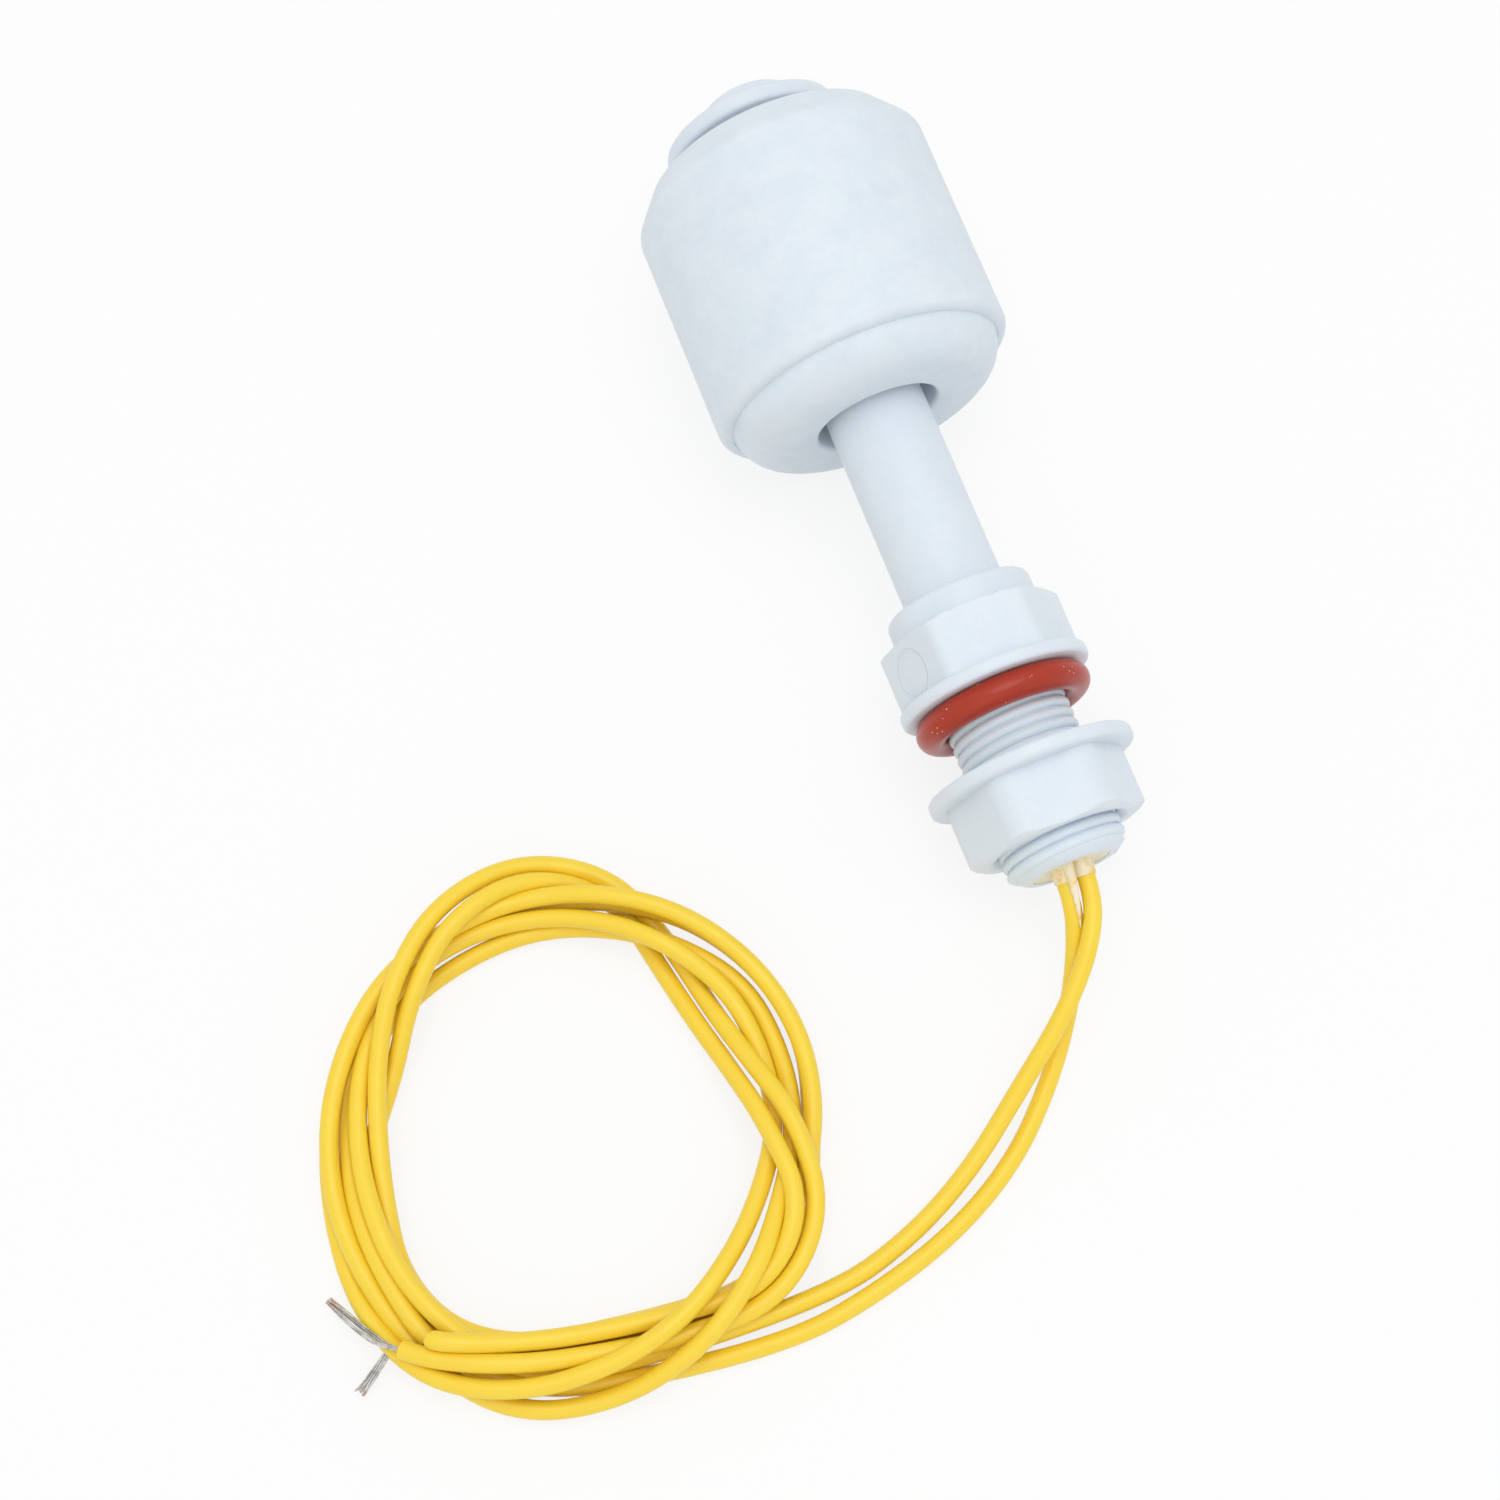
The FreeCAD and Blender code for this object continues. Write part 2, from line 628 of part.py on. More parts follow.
def round_tube(points, diameter, told=None):
    """A round wire swept along the smoothed route through the points."""
    path = smooth_path(points, told)
    ring = Part.Wire(Part.makeCircle(diameter / 2, points[0], points[1] - points[0]))
    tube = path.makePipeShell([ring], True, False)
    wanted = math.pi * diameter ** 2 / 4 * path.Length
    if abs(tube.Volume / wanted - 1) > 0.01:
        raise ValueError("a swept wire has the wrong volume")
    return tube


def make_feature(label, shape, place=None):
    """A plain feature for a swept or built-up shape, placed after its shape is set."""
    feature = doc.addObject("Part::Feature", label)
    feature.Shape = shape
    if place:
        feature.Placement = place
    return feature


def make_reed(label, lower):
    """One reed: a flat blade inside the glass and the round lead that carries it."""
    middle = size("reed_low + glass_long / 2")
    seal = size("glass_seal")
    glass_end = size("reed_low") if lower else size("reed_low + glass_long")
    away = -1 if lower else 1
    root = glass_end - away * seal
    tip = middle - away * size("blade_lap / 2")
    wide, thick = size("blade_wide"), size("blade_thick")
    near = size("contact_gap / 2")
    side = near if lower else -near - thick
    blade = Part.makeBox(wide, thick, abs(tip - root), V(-wide / 2, side, min(tip, root)))
    inner = V(0, 0, root - away * BLADE_ROOT)
    if lower:
        out = SIDES["left"] * size("wire_pitch / 2")
        route = [inner, V(0, 0, size("lead_straight")), V(out, 0, size("lead_spread")),
                 V(out, 0, size("solder_top"))]
        lead = round_tube(route, size("lead_thick"))
    else:
        lead = Part.makeCylinder(size("lead_thick / 2"), size("lead_up + glass_seal") + BLADE_ROOT,
                                 inner)
    return make_feature(label, blade.fuse(lead).removeSplitter(), REST)


def make_return_lead():
    """Thin lead from the top of the reed, over and down beside it to the right wire."""
    start = size("reed_low + glass_long + lead_up + solder_long")
    crest = start + size("return_rise")
    out, near = size("return_out"), SIDES["right"] * size("wire_pitch / 2")
    route = [V(0, 0, start), V(0, 0, crest), V(out, 0, crest), V(out, 0, size("lead_straight")),
             V(near, 0, size("lead_spread")), V(near, 0, size("solder_top"))]
    return make_feature("return_lead", round_tube(route, size("return_thick")), REST)


def make_solder_joints():
    """Three short solder joints: one above the reed, one at each wire."""
    cylinder("solder_upper", "solder_wide / 2", "solder_long", "0",
             "reed_low + glass_long + lead_up")
    for side in SIDES:
        cylinder("solder_" + side, "solder_wide / 2", "solder_long",
                 "%d * wire_pitch / 2" % SIDES[side], "solder_top - solder_long")


# Routes of the two wires on the ground, from the tail to the coil, as (x, y, z). Each starts at
# the tail's resin and runs down to the ground; the right one passes over the left one.
LEAD_ROUTES = {
    "right": [(0.85, -35.6, 6.95), (-1.0, -39.2, 6.3), (-4.6, -42.9, 4.8), (-9.4, -46.3, 2.7),
              (-14.6, -50.1, 1.1), (-20.6, -53.1, 0.7), (-27.6, -54.9, 0.7), (-34.6, -55.4, 0.7),
              (-40.6, -54.3, 0.7)],
    "left": [(-0.82, -35.5, 6.94), (-1.7, -38.6, 4.75), (-3.5, -42.0, 2.85), (-6.5, -46.0, 1.35),
             (-11.3, -50.6, 0.7), (-17.4, -53.9, 0.7), (-24.3, -55.9, 0.7), (-31.5, -56.9, 0.7),
             (-38.5, -56.6, 0.7), (-43.0, -55.2, 0.7)],
}
# The coil of spare wire: centre on the ground, half lengths outside and inside, and its turn.
COIL_CENTRE = V(-41.1, -37.0, 0)
COIL_OUTSIDE = (20.8, 18.2)
COIL_INSIDE = (14.6, 13.0)
COIL_TURN = 67
# Where each wire's bare strands leave the coil, and where they end.
STRAND_ENDS = {
    "right": ((-57.6, -47.6, 0.9), (-61.9, -49.4, 0.5)),
    "left": ((-57.2, -47.3, 1.6), (-61.4, -42.1, 1.2)),
}


def make_lead(side):
    """One insulated wire from the tail to the coil."""
    across = SIDES[side] * size("wire_pitch / 2")
    start = REST.multVec(V(across, 0, size("resin_inset - thread_long")))
    points = [start] + [V(*place) for place in LEAD_ROUTES[side]]
    told = []
    tube = round_tube(points, size("wire_wide"), told)
    print("lead_" + side, "radii", [round(r, 1) for r in told],
          "length", round(smooth_path(points).Length, 1))
    return make_feature("lead_" + side, tube)


def make_wire_coil():
    """One closed ring with the outer shape of the coiled wires."""
    rings = []
    for long_half, short_half in (COIL_OUTSIDE, COIL_INSIDE):
        ellipse = Part.Ellipse(V(0, 0, 0), long_half, short_half)
        rings.append(Part.Face(Part.Wire(ellipse.toShape())))
    flat = rings[0].cut(rings[1])
    ring = flat.extrude(V(0, 0, size("coil_high")))
    ring = ring.makeChamfer(size("coil_round"), ring.Edges)
    turn = FreeCAD.Rotation(V(0, 0, 1), COIL_TURN)
    return make_feature("wire_coil", ring, FreeCAD.Placement(COIL_CENTRE, turn))


def make_strands(side):
    """The bare strands at one wire's far end, a little flared at the cut."""
    start, end = (V(*place) for place in STRAND_ENDS[side])
    turn = FreeCAD.Rotation(V(0, 0, 1), end - start)
    strands = cone("strands_" + side, "core_wide", "core_flare", "core_wide",
                   FreeCAD.Placement(start, turn))
    strands.setExpression("Height", None)
    strands.Height = (end - start).Length
    return strands


def check_document():
    """Stops if any object failed, or if a sub-part's shape is missing or broken."""
    doc.recompute()
    for thing in doc.Objects:
        if "Invalid" in thing.State or "Error" in thing.State:
            raise ValueError("%s failed: %s" % (thing.Name, thing.State))
    for label in NODES:
        shape = doc.getObject(label).Shape
        if shape.isNull() or not shape.isValid() or not shape.Solids:
            raise ValueError("%s has no valid solid" % label)


def write_parts():
    """One STEP file for each sub-part, named after its label."""
    os.makedirs("parts", exist_ok=True)
    for label in NODES:
        piece = doc.getObject(label)
        print(label, "solids", len(piece.Shape.Solids), "volume", round(piece.Shape.Volume, 2))
        piece.Shape.exportStep("parts/%s.step" % label)


NODES = [
    "switch_body", "retaining_clip", "float_shell", "float_cap", "float_magnet", "sealing_ring",
    "lock_nut", "potting_plug", "glue_bead", "reed_glass", "reed_sleeve", "reed_lower",
    "reed_upper", "return_lead", "solder_upper", "solder_left", "solder_right",
    "wire_tail_left", "wire_tail_right", "lead_left", "lead_right", "wire_coil",
    "strands_left", "strands_right",
]
SIDES = {"left": -1, "right": 1}
SNAP = 0.001
ARC_SHARE = 0.45
BLADE_ROOT = 0.3
UNTURNED = FreeCAD.Rotation()

fill_sheet()
REST = rest_placement()
make_switch_body()
make_retaining_clip()
make_float_shell()
make_float_cap()
make_float_magnet()
make_sealing_ring()
make_lock_nut()
make_potting_plug()
make_glue_bead()
make_reed_glass()
make_reed_sleeve()
make_reed("reed_lower", True)
make_reed("reed_upper", False)
make_return_lead()
make_solder_joints()
for wire_side in SIDES:
    make_wire_tail(wire_side)
    make_lead(wire_side)
    make_strands(wire_side)
make_wire_coil()
check_document()
write_parts()
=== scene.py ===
# %% [markdown]
# # A float level switch
#
# This file dresses the switch's solid model for a picture. The sealing ring and the pieces inside
# keep their solid shapes and get a finish. The body, the nut, the float and the clip are made
# again with softer edges, as moulded plastic has them. The wires, their bare ends, the thread and
# the glue are made here only, because they are too fine or too soft for plain solids.
#
# The first step loads the solid model. It is the frame that everything else is fitted to.

# %% Load the solid model
import json
import math
import random

import bmesh
import bpy
from mathutils import Matrix, Vector

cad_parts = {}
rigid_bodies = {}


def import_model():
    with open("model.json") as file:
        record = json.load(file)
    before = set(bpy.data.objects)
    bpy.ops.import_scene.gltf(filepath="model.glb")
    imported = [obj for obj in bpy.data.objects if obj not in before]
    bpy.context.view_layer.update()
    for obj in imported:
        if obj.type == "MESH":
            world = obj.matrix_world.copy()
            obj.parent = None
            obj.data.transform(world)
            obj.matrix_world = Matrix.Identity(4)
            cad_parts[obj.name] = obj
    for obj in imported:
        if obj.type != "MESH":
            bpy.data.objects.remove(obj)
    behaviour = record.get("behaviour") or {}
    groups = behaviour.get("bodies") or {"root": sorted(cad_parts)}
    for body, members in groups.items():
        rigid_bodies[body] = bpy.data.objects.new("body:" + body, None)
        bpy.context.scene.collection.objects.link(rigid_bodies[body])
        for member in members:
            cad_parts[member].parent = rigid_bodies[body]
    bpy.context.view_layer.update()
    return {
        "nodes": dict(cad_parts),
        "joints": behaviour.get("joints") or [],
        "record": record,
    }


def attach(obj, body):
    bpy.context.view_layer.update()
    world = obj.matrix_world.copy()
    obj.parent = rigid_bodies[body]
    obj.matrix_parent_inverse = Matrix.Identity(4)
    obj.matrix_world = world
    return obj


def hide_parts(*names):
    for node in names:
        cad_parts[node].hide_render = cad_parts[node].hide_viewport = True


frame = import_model()
nodes = frame["nodes"]
MM = 0.001
print("pieces of the solid model:", len(nodes))

# %% [markdown]
# The camera looks down on the switch at a steep angle, as somebody does who has laid it on a
# table. A long lens keeps the far end of the switch nearly as large as the near end. The camera's
# turn is worked out from where it stands and the point on the table that it looks at.

# %% Place the camera
CAMERA_PLACE = Vector((-44.2386, -81.5973, 181.3318)) * MM
CAMERA_TARGET = Vector((-17.6426, -13.2342, 0.0)) * MM

lens = bpy.data.cameras.new("camera")
lens.lens = 60
lens.sensor_width = 36
lens.clip_start = 0.01
camera = bpy.data.objects.new("camera", lens)
camera.location = CAMERA_PLACE
camera.rotation_euler = (CAMERA_TARGET - CAMERA_PLACE).to_track_quat("-Z", "Y").to_euler()
bpy.context.scene.collection.objects.link(camera)
bpy.context.scene.camera = camera
print("camera distance:", round((CAMERA_TARGET - CAMERA_PLACE).length, 4), "m")

# %% [markdown]
# The two lead wires are the softest part. Each is one length of stranded wire with a yellow
# sleeve, and it runs from the resin in the tail down to the table and into a loose coil of a
# little over three turns. A wire could be a swept mesh, but a NURBS curve with a round bevel
# needs only the places that it passes near, and it bends as evenly as a real wire does. The
# first places are the lead's route down to the table.

# %% Lead routes
WIRE_WIDE = 1.4
RIGHT_LEAD = [
    (0.80, -32.70, 7.28), (0.85, -35.6, 6.95), (-1.0, -39.2, 6.3), (-4.6, -42.9, 4.8),
    (-9.4, -46.3, 2.7), (-14.6, -50.1, 1.1), (-20.6, -53.1, 0.7), (-27.6, -54.9, 0.7),
]
LEFT_LEAD = [
    (-0.80, -32.70, 7.28), (-0.82, -35.5, 6.94), (-1.7, -38.6, 4.75), (-3.5, -42.0, 2.85),
    (-6.5, -46.0, 1.35), (-11.3, -50.6, 0.7), (-17.4, -53.9, 0.7), (-24.3, -55.9, 0.7),
    (-31.5, -56.9, 0.7),
]
print("places on the leads:", len(RIGHT_LEAD), "and", len(LEFT_LEAD))

# %% [markdown]
# Nothing ties the coil, so its turns differ in size, cross each other and lie up to four deep.
# Each turn is told by eighteen pairs of numbers: how far the wire is from the middle of the coil,
# and how high it is above the table. The pairs are twenty degrees apart, clockwise, and a loop
# turns them into places.
#
# The pairs were first set one by one. A separate calculation then moved them by small steps, until
# wires that touch press into each other by little more than a tenth of a millimetre, so the
# numbers are its result. A formula would be easier to change, but it makes a neater coil than
# this one, whose turns cross as they fell.

# %% Turns of the coil
COIL_MIDDLE = Vector((-41.1, -37.0, 0.0))
COIL_START = -100
COIL_STEP = -20
RIGHT_TURNS = [
    (17.4, 1.5), (17.6, 1.9), (16.6, 2.8), (15.8, 3.2), (15.2, 3.1), (15.4, 2.6),
    (16.2, 2.4), (17.2, 2.0), (17.1, 1.7), (16.6, 2.0), (15.9, 3.1), (15.4, 3.8),
    (15.7, 2.3), (15.3, 1.8), (15.2, 1.9), (14.8, 2.6), (15.3, 3.8), (16.5, 4.4),
    (17.6, 3.5), (19.2, 3.0), (20.4, 2.1), (19.5, 1.0), (18.2, 0.7), (17.8, 0.7),
    (17.8, 0.7), (17.7, 0.7), (18.0, 0.7), (17.9, 1.1), (17.7, 2.5), (18.3, 2.3),
    (18.8, 1.1), (18.7, 0.9), (17.8, 0.8), (18.5, 0.7), (18.7, 0.7), (16.7, 0.7),
    (15.8, 0.7), (16.8, 0.7), (17.7, 0.7), (17.1, 0.7), (15.8, 0.8), (14.4, 0.9),
    (13.7, 1.4), (15.2, 3.5), (17.7, 4.6), (19.7, 3.1), (18.7, 0.7), (14.0, 0.7),
    (12.4, 1.1), (12.6, 2.1), (14.3, 3.9), (18.1, 4.0), (18.5, 2.8), (15.7, 2.9),
    (14.9, 2.9), (15.7, 3.3), (17.9, 4.3),
]
LEFT_TURNS = [
    (18.4, 0.7), (18.5, 0.7), (18.4, 2.1), (16.8, 2.4), (16.3, 2.1), (16.3, 1.3),
    (16.6, 1.0), (16.0, 0.7), (15.7, 0.7), (15.9, 0.8), (15.8, 1.6), (16.0, 2.6),
    (17.1, 1.4), (16.7, 1.3), (16.6, 1.9), (16.4, 2.8), (17.5, 4.5), (18.8, 3.5),
    (19.7, 1.4), (20.4, 0.9), (19.3, 0.7), (18.1, 1.8), (17.7, 2.1), (17.6, 2.5),
    (17.6, 2.9), (17.9, 3.2), (17.9, 2.8), (18.1, 2.5), (17.8, 3.9), (18.1, 3.8),
    (18.5, 2.5), (18.5, 2.4), (18.1, 2.3), (17.6, 2.0), (17.9, 1.7), (15.3, 1.5),
    (14.6, 1.5), (15.6, 1.4), (16.4, 1.3), (15.7, 1.2), (14.1, 1.9), (13.8, 2.7),
    (14.9, 3.0), (16.9, 4.5), (19.5, 4.3), (21.2, 2.4), (20.0, 1.2), (15.8, 0.9),
    (13.9, 1.4), (14.1, 3.0), (16.6, 4.1), (19.6, 2.9), (19.8, 2.4), (17.4, 2.5),
    (16.4, 2.6), (17.3, 3.6), (19.1, 3.3),
]
RIGHT_END = (-55.02, -48.06, 4.01)
LEFT_END = (-57.33, -47.74, 3.03)


def coil_places(turns):
    """The places of a wire's turns, in millimetres."""
    places = []
    for count, (reach, height) in enumerate(turns):
        angle = math.radians(COIL_START + COIL_STEP * count)
        aside = Vector((math.cos(angle) * reach, math.sin(angle) * reach, height))
        places.append(COIL_MIDDLE + aside)
    return places


right_places = RIGHT_LEAD + coil_places(RIGHT_TURNS) + [RIGHT_END]
left_places = LEFT_LEAD + coil_places(LEFT_TURNS) + [LEFT_END]
print("places on the wires:", len(right_places), "and", len(left_places))

# %% [markdown]
# Each wire is one curve through its places. The order and the end points are set after the points
# are added, because an earlier setting would be lost. Each point's radius is half the wire's
# thickness and the bevel's depth is 1, because the curve's box takes a point's radius as it is,
# in metres. The length is measured on the curve without its bevel, which is its middle line.

# %% The two wires


def wire_curve(name, places):
    """A wire as one NURBS curve through the given places, in millimetres."""
    curve = bpy.data.curves.new(name, "CURVE")
    curve.dimensions = "3D"
    spline = curve.splines.new("NURBS")
    spline.points.add(len(places) - 1)
    for point, place in zip(spline.points, places):
        point.co = (*(Vector(place) * MM), 1.0)
        point.radius = WIRE_WIDE / 2 * MM
    spline.order_u = 3
    spline.use_endpoint_u = True
    spline.resolution_u = 8
    curve.bevel_depth = 1.0
    curve.bevel_resolution = 6
    curve.use_fill_caps = True
    wire = bpy.data.objects.new(name, curve)
    bpy.context.scene.collection.objects.link(wire)
    return wire


def curve_length(wire):
    """The length of a wire's middle line, in metres."""
    bevel = wire.data.bevel_depth
    wire.data.bevel_depth = 0
    bpy.context.view_layer.update()
    line = bpy.data.meshes.new_from_object(wire)
    wire.data.bevel_depth = bevel
    ends = [[line.vertices[index].co for index in edge.vertices] for edge in line.edges]
    return sum((start - end).length for start, end in ends)


right_wire = wire_curve("wire_right", right_places)
left_wire = wire_curve("wire_left", left_places)
right_long = curve_length(right_wire)
left_long = curve_length(left_wire)
print("wire lengths:", round(right_long, 4), "and", round(left_long, 4), "m")

# %% [markdown]
# Each sleeve is stripped at its end, and nine tinned copper strands come out. They start close
# together, and they spread where they were cut. Each strand is a spline of one bevelled curve
# that follows the bundle's own line with its small place in the bundle: eight lie round the
# ninth. The right bundle is tight and flares only at its end. The left one has frayed, and three
# of its strands stand away from it. Lengths are in millimetres and turns are in radians.

# %% Bare strands
STRANDS = 9
STRAND_WIDE = 0.14
STRAND_REACH = 0.13
STRAND_LAY = 2.4
STRAND_WANDER = 0.25
UNEVEN_CUT = 0.25
STRAY_REACH = 0.34
LOWEST_STRAND = STRAND_WIDE / 2 + 0.02
LEFT_BUNDLE = [
    (-57.33, -47.74, 3.03), (-58.05, -47.33, 2.8), (-59.0, -45.9, 2.2), (-59.87, -44.48, 1.7),
    (-60.62, -43.19, 1.4), (-61.25, -42.2, 1.2),
]
RIGHT_BUNDLE = [
    (-55.02, -48.06, 3.95), (-56.06, -48.0, 1.9), (-57.04, -47.5, 1.6), (-57.65, -47.2, 1.6),
    (-58.17, -47.27, 1.7), (-59.19, -47.93, 1.3), (-60.4, -48.73, 0.9), (-61.3, -49.2, 0.55),
]


def strand_bundle(name, line, spread, stray, seed):
    """Bare strands along a line in millimetres, spread more and more towards its end."""
    chance = random.Random(seed)
    curve = bpy.data.curves.new(name, "CURVE")
    curve.dimensions = "3D"
    last = len(line) - 1
    way = Vector(line[-1]) - Vector(line[-3])
    flat = Vector((way.y, -way.x, 0.0)).normalized()
    for number in range(STRANDS):
        turn = number * math.tau / (STRANDS - 1)
        ring = 0.0 if number == STRANDS - 1 else 1.0
        cut = chance.uniform(0.0, UNEVEN_CUT)
        spline = curve.splines.new("NURBS")
        spline.points.add(last)
        for count, place in enumerate(line):
            share = count / last
            reach = ring * (STRAND_REACH + spread * share ** 2)
            twist = turn + share * STRAND_LAY + chance.uniform(-STRAND_WANDER, STRAND_WANDER)
            aside = (flat * math.cos(twist) + Vector((0.0, 0.0, math.sin(twist)))) * reach
            if number < stray:
                bulge = STRAY_REACH * math.sin(share * math.pi)
                aside -= flat * (bulge * chance.uniform(0.5, 1.3))
            middle = Vector(place)
            if count == last:
                middle = middle.lerp(Vector(line[-2]), cut)
            spot = middle + aside
            spot.z = max(spot.z, LOWEST_STRAND)
            spline.points[count].co = (*(spot * MM), 1.0)
            spline.points[count].radius = STRAND_WIDE / 2 * MM
        spline.order_u = 3
        spline.use_endpoint_u = True
        spline.resolution_u = 6
    curve.bevel_depth = 1.0
    curve.bevel_resolution = 2
    curve.use_fill_caps = True
    bundle = bpy.data.objects.new(name, curve)
    bpy.context.scene.collection.objects.link(bundle)
    return bundle


left_strands = strand_bundle("bare_strands_left", LEFT_BUNDLE, spread=0.09, stray=3, seed=4)
right_strands = strand_bundle("bare_strands_right", RIGHT_BUNDLE, spread=0.24, stray=0, seed=9)
print("strands in each bundle:", len(left_strands.data.splines))

# %% [markdown]
# The switch lies on its float and its nut, so its middle line rises a little. The pieces round
# that line are easiest to make standing up, with the sealing face at zero and the float above.
# One matrix then lays them in their place. It is built from the sealing face's own mount and the
# direction of the float's slide, which the solid model carries.

# %% The switch's own frame
seal_mount = Vector(frame["record"]["mounts"][0]["pos_m"])
stem_way = Vector(frame["joints"][0]["axis"]).normalized()
across = Vector((1.0, 0.0, 0.0))
inward = stem_way.cross(across)
LAID_DOWN = Matrix((
    (across.x, inward.x, stem_way.x, seal_mount.x),
    (across.y, inward.y, stem_way.y, seal_mount.y),
    (across.z, inward.z, stem_way.z, seal_mount.z),
    (0.0, 0.0, 0.0, 1.0),
))
print("tilt of the stem:", round(math.degrees(math.asin(stem_way.z)), 2), "degrees")


def laid_piece(name, bm, smooth=40, lay=LAID_DOWN):
    """Finishes a mesh made upright in metres: laid down, with normals outwards, as an object."""
    bmesh.ops.remove_doubles(bm, verts=bm.verts, dist=1e-7)
    bmesh.ops.recalc_face_normals(bm, faces=bm.faces)
    bmesh.ops.transform(bm, matrix=lay, verts=bm.verts)
    mesh = bpy.data.meshes.new(name)
    bm.to_mesh(mesh)
    bm.free()
    mesh.shade_smooth()
    mesh.set_sharp_from_angle(angle=math.radians(smooth))
    piece = bpy.data.objects.new(name, mesh)
    bpy.context.scene.collection.objects.link(piece)
    return piece


# %% [markdown]
# The body and the nut are one kind of form: a turned shape whose sides are milled to a hexagon
# with rounded corners. In the solid model their corners are nearly sharp and the tail is a plain
# rod, so both are made again here. An outline from the middle line outwards is spun into a ring
# of faces, and then each point between two heights is drawn in to the hexagon. A boolean with a
# prism would give the same form, but its edges would be hard and its faces long and thin.
#
# A hexagon is the same every sixty degrees and on both sides of a flat's middle, so a direction
# only counts by how far it is off that middle. Near it the flat decides the reach, and further
# off the round of the corner does. The bore and the tail lie inside the smallest reach that is
# milled, so they stay round.

# %% Turn an outline and mill its hexagon
HEX_FLATS = 12.7
HEX_TURN = 5.0
MILLED_FROM = 5.8
HALF_SIDE = math.radians(30)


def hexagon_reach(angle, corner_round):
    """How far a hexagon with rounded corners reaches from the middle at an angle in degrees."""
    half = HEX_FLATS / 2
    flat = half - corner_round
    off = math.radians(abs((angle + HEX_TURN) % 60 - 30))
    if math.tan(off) * half <= flat * math.tan(HALF_SIDE):
        return half / math.cos(off)
    centre = flat / math.cos(HALF_SIDE)
    side = HALF_SIDE - off
    return centre * math.cos(side) + math.sqrt(corner_round ** 2 - (centre * math.sin(side)) ** 2)


def turned(outline, closed, steps=144):
    """A mesh spun from an outline of (reach, height) pairs in millimetres."""
    bm = bmesh.new()
    ring = [bm.verts.new((reach * MM, 0.0, height * MM)) for reach, height in outline]
    first = 0 if closed else 1
    edges = [bm.edges.new((ring[index - 1], ring[index])) for index in range(first, len(ring))]
    bmesh.ops.spin(bm, geom=ring + edges, cent=(0, 0, 0), axis=(0, 0, 1), angle=math.tau,
                   steps=steps, use_merge=True, use_duplicate=False)
    bmesh.ops.remove_doubles(bm, verts=bm.verts, dist=1e-7)
    return bm


def mill_hexagon(bm, low, high, corner_round):
    """Draws the points between two heights in to a hexagon, and counts them."""
    moved = 0
    for vert in bm.verts:
        reach = math.hypot(vert.co.x, vert.co.y)
        if low * MM < vert.co.z < high * MM and reach > MILLED_FROM * MM:
            angle = math.degrees(math.atan2(vert.co.y, vert.co.x))
            most = hexagon_reach(angle, corner_round) * MM
            if reach > most:
                vert.co.x *= most / reach
                vert.co.y *= most / reach
                moved += 1
    return moved


print("reach of a sharp corner:", round(hexagon_reach(-HEX_TURN, 0.0), 2), "mm")

# %% [markdown]
# The body is one moulding. Its outline starts inside at the end of the reed's bore, goes down
# the bore, round the tail's end, up the outside past the flange, hexagon and collar, and ends on
# the stem's tip. The tail is turned to the thread's root, and its crest is added afterwards. The
# heights between which the hexagon is milled are a hair off its two ends, so that it is sure
# which points are milled.

# %% Body
THREAD_CREST = 4.75
THREAD_ROOT = 4.42
THREAD_START = -1.58
THREAD_END = -14.3
BEVEL_START = -13.5
BEVEL_ACROSS = 1.1
BODY_HEX_LOW = 1.105
BODY_HEX_TOP = 5.805
BODY_HEX_ROUND = 0.9
BODY_OUTLINE = [
    (0.0, 34.0), (1.8, 34.0), (1.8, 2.0), (3.0, 2.0), (3.0, -14.24), (3.06, -14.3),
    (3.5, -14.3), (3.68, -14.23), (4.1, -13.93), (4.36, -13.72), (THREAD_ROOT, -13.6),
    (THREAD_ROOT, -1.6), (4.5, -1.52), (4.55, -1.44), (4.55, 0.0), (7.15, 0.0), (7.34, 0.06),
    (7.46, 0.2), (7.5, 0.4), (7.5, 0.75), (7.45, 0.95), (7.33, 1.06), (7.2, 1.1), (7.5, 1.12),
    (7.5, 2.6), (7.5, 4.2), (7.5, 5.1), (7.42, 5.35), (7.2, 5.58), (6.9, 5.72), (6.5, 5.79),
    (6.2, 5.8), (5.85, 5.8), (5.75, 5.86), (5.75, 7.55), (5.68, 7.8), (5.52, 7.95), (5.3, 8.0),
    (4.1, 8.0), (3.98, 8.04), (3.95, 8.15), (3.95, 28.0), (3.95, 48.85), (3.1, 48.85),
    (3.1, 50.35), (3.95, 50.35), (3.95, 52.25), (3.85, 52.45), (3.55, 52.72), (3.35, 52.8),
    (0.0, 52.8),
]
bm = turned(BODY_OUTLINE, closed=False)
milled = mill_hexagon(bm, BODY_HEX_LOW, BODY_HEX_TOP, BODY_HEX_ROUND)
print("points milled on the body:", milled)
body = laid_piece("body", bm, 35)

# %% [markdown]
# The lock nut is the same work with a through hole. Its flange faces the sealing ring. The outer
# end of its hexagon is domed, and the edges of its corners are rounder than the body's.

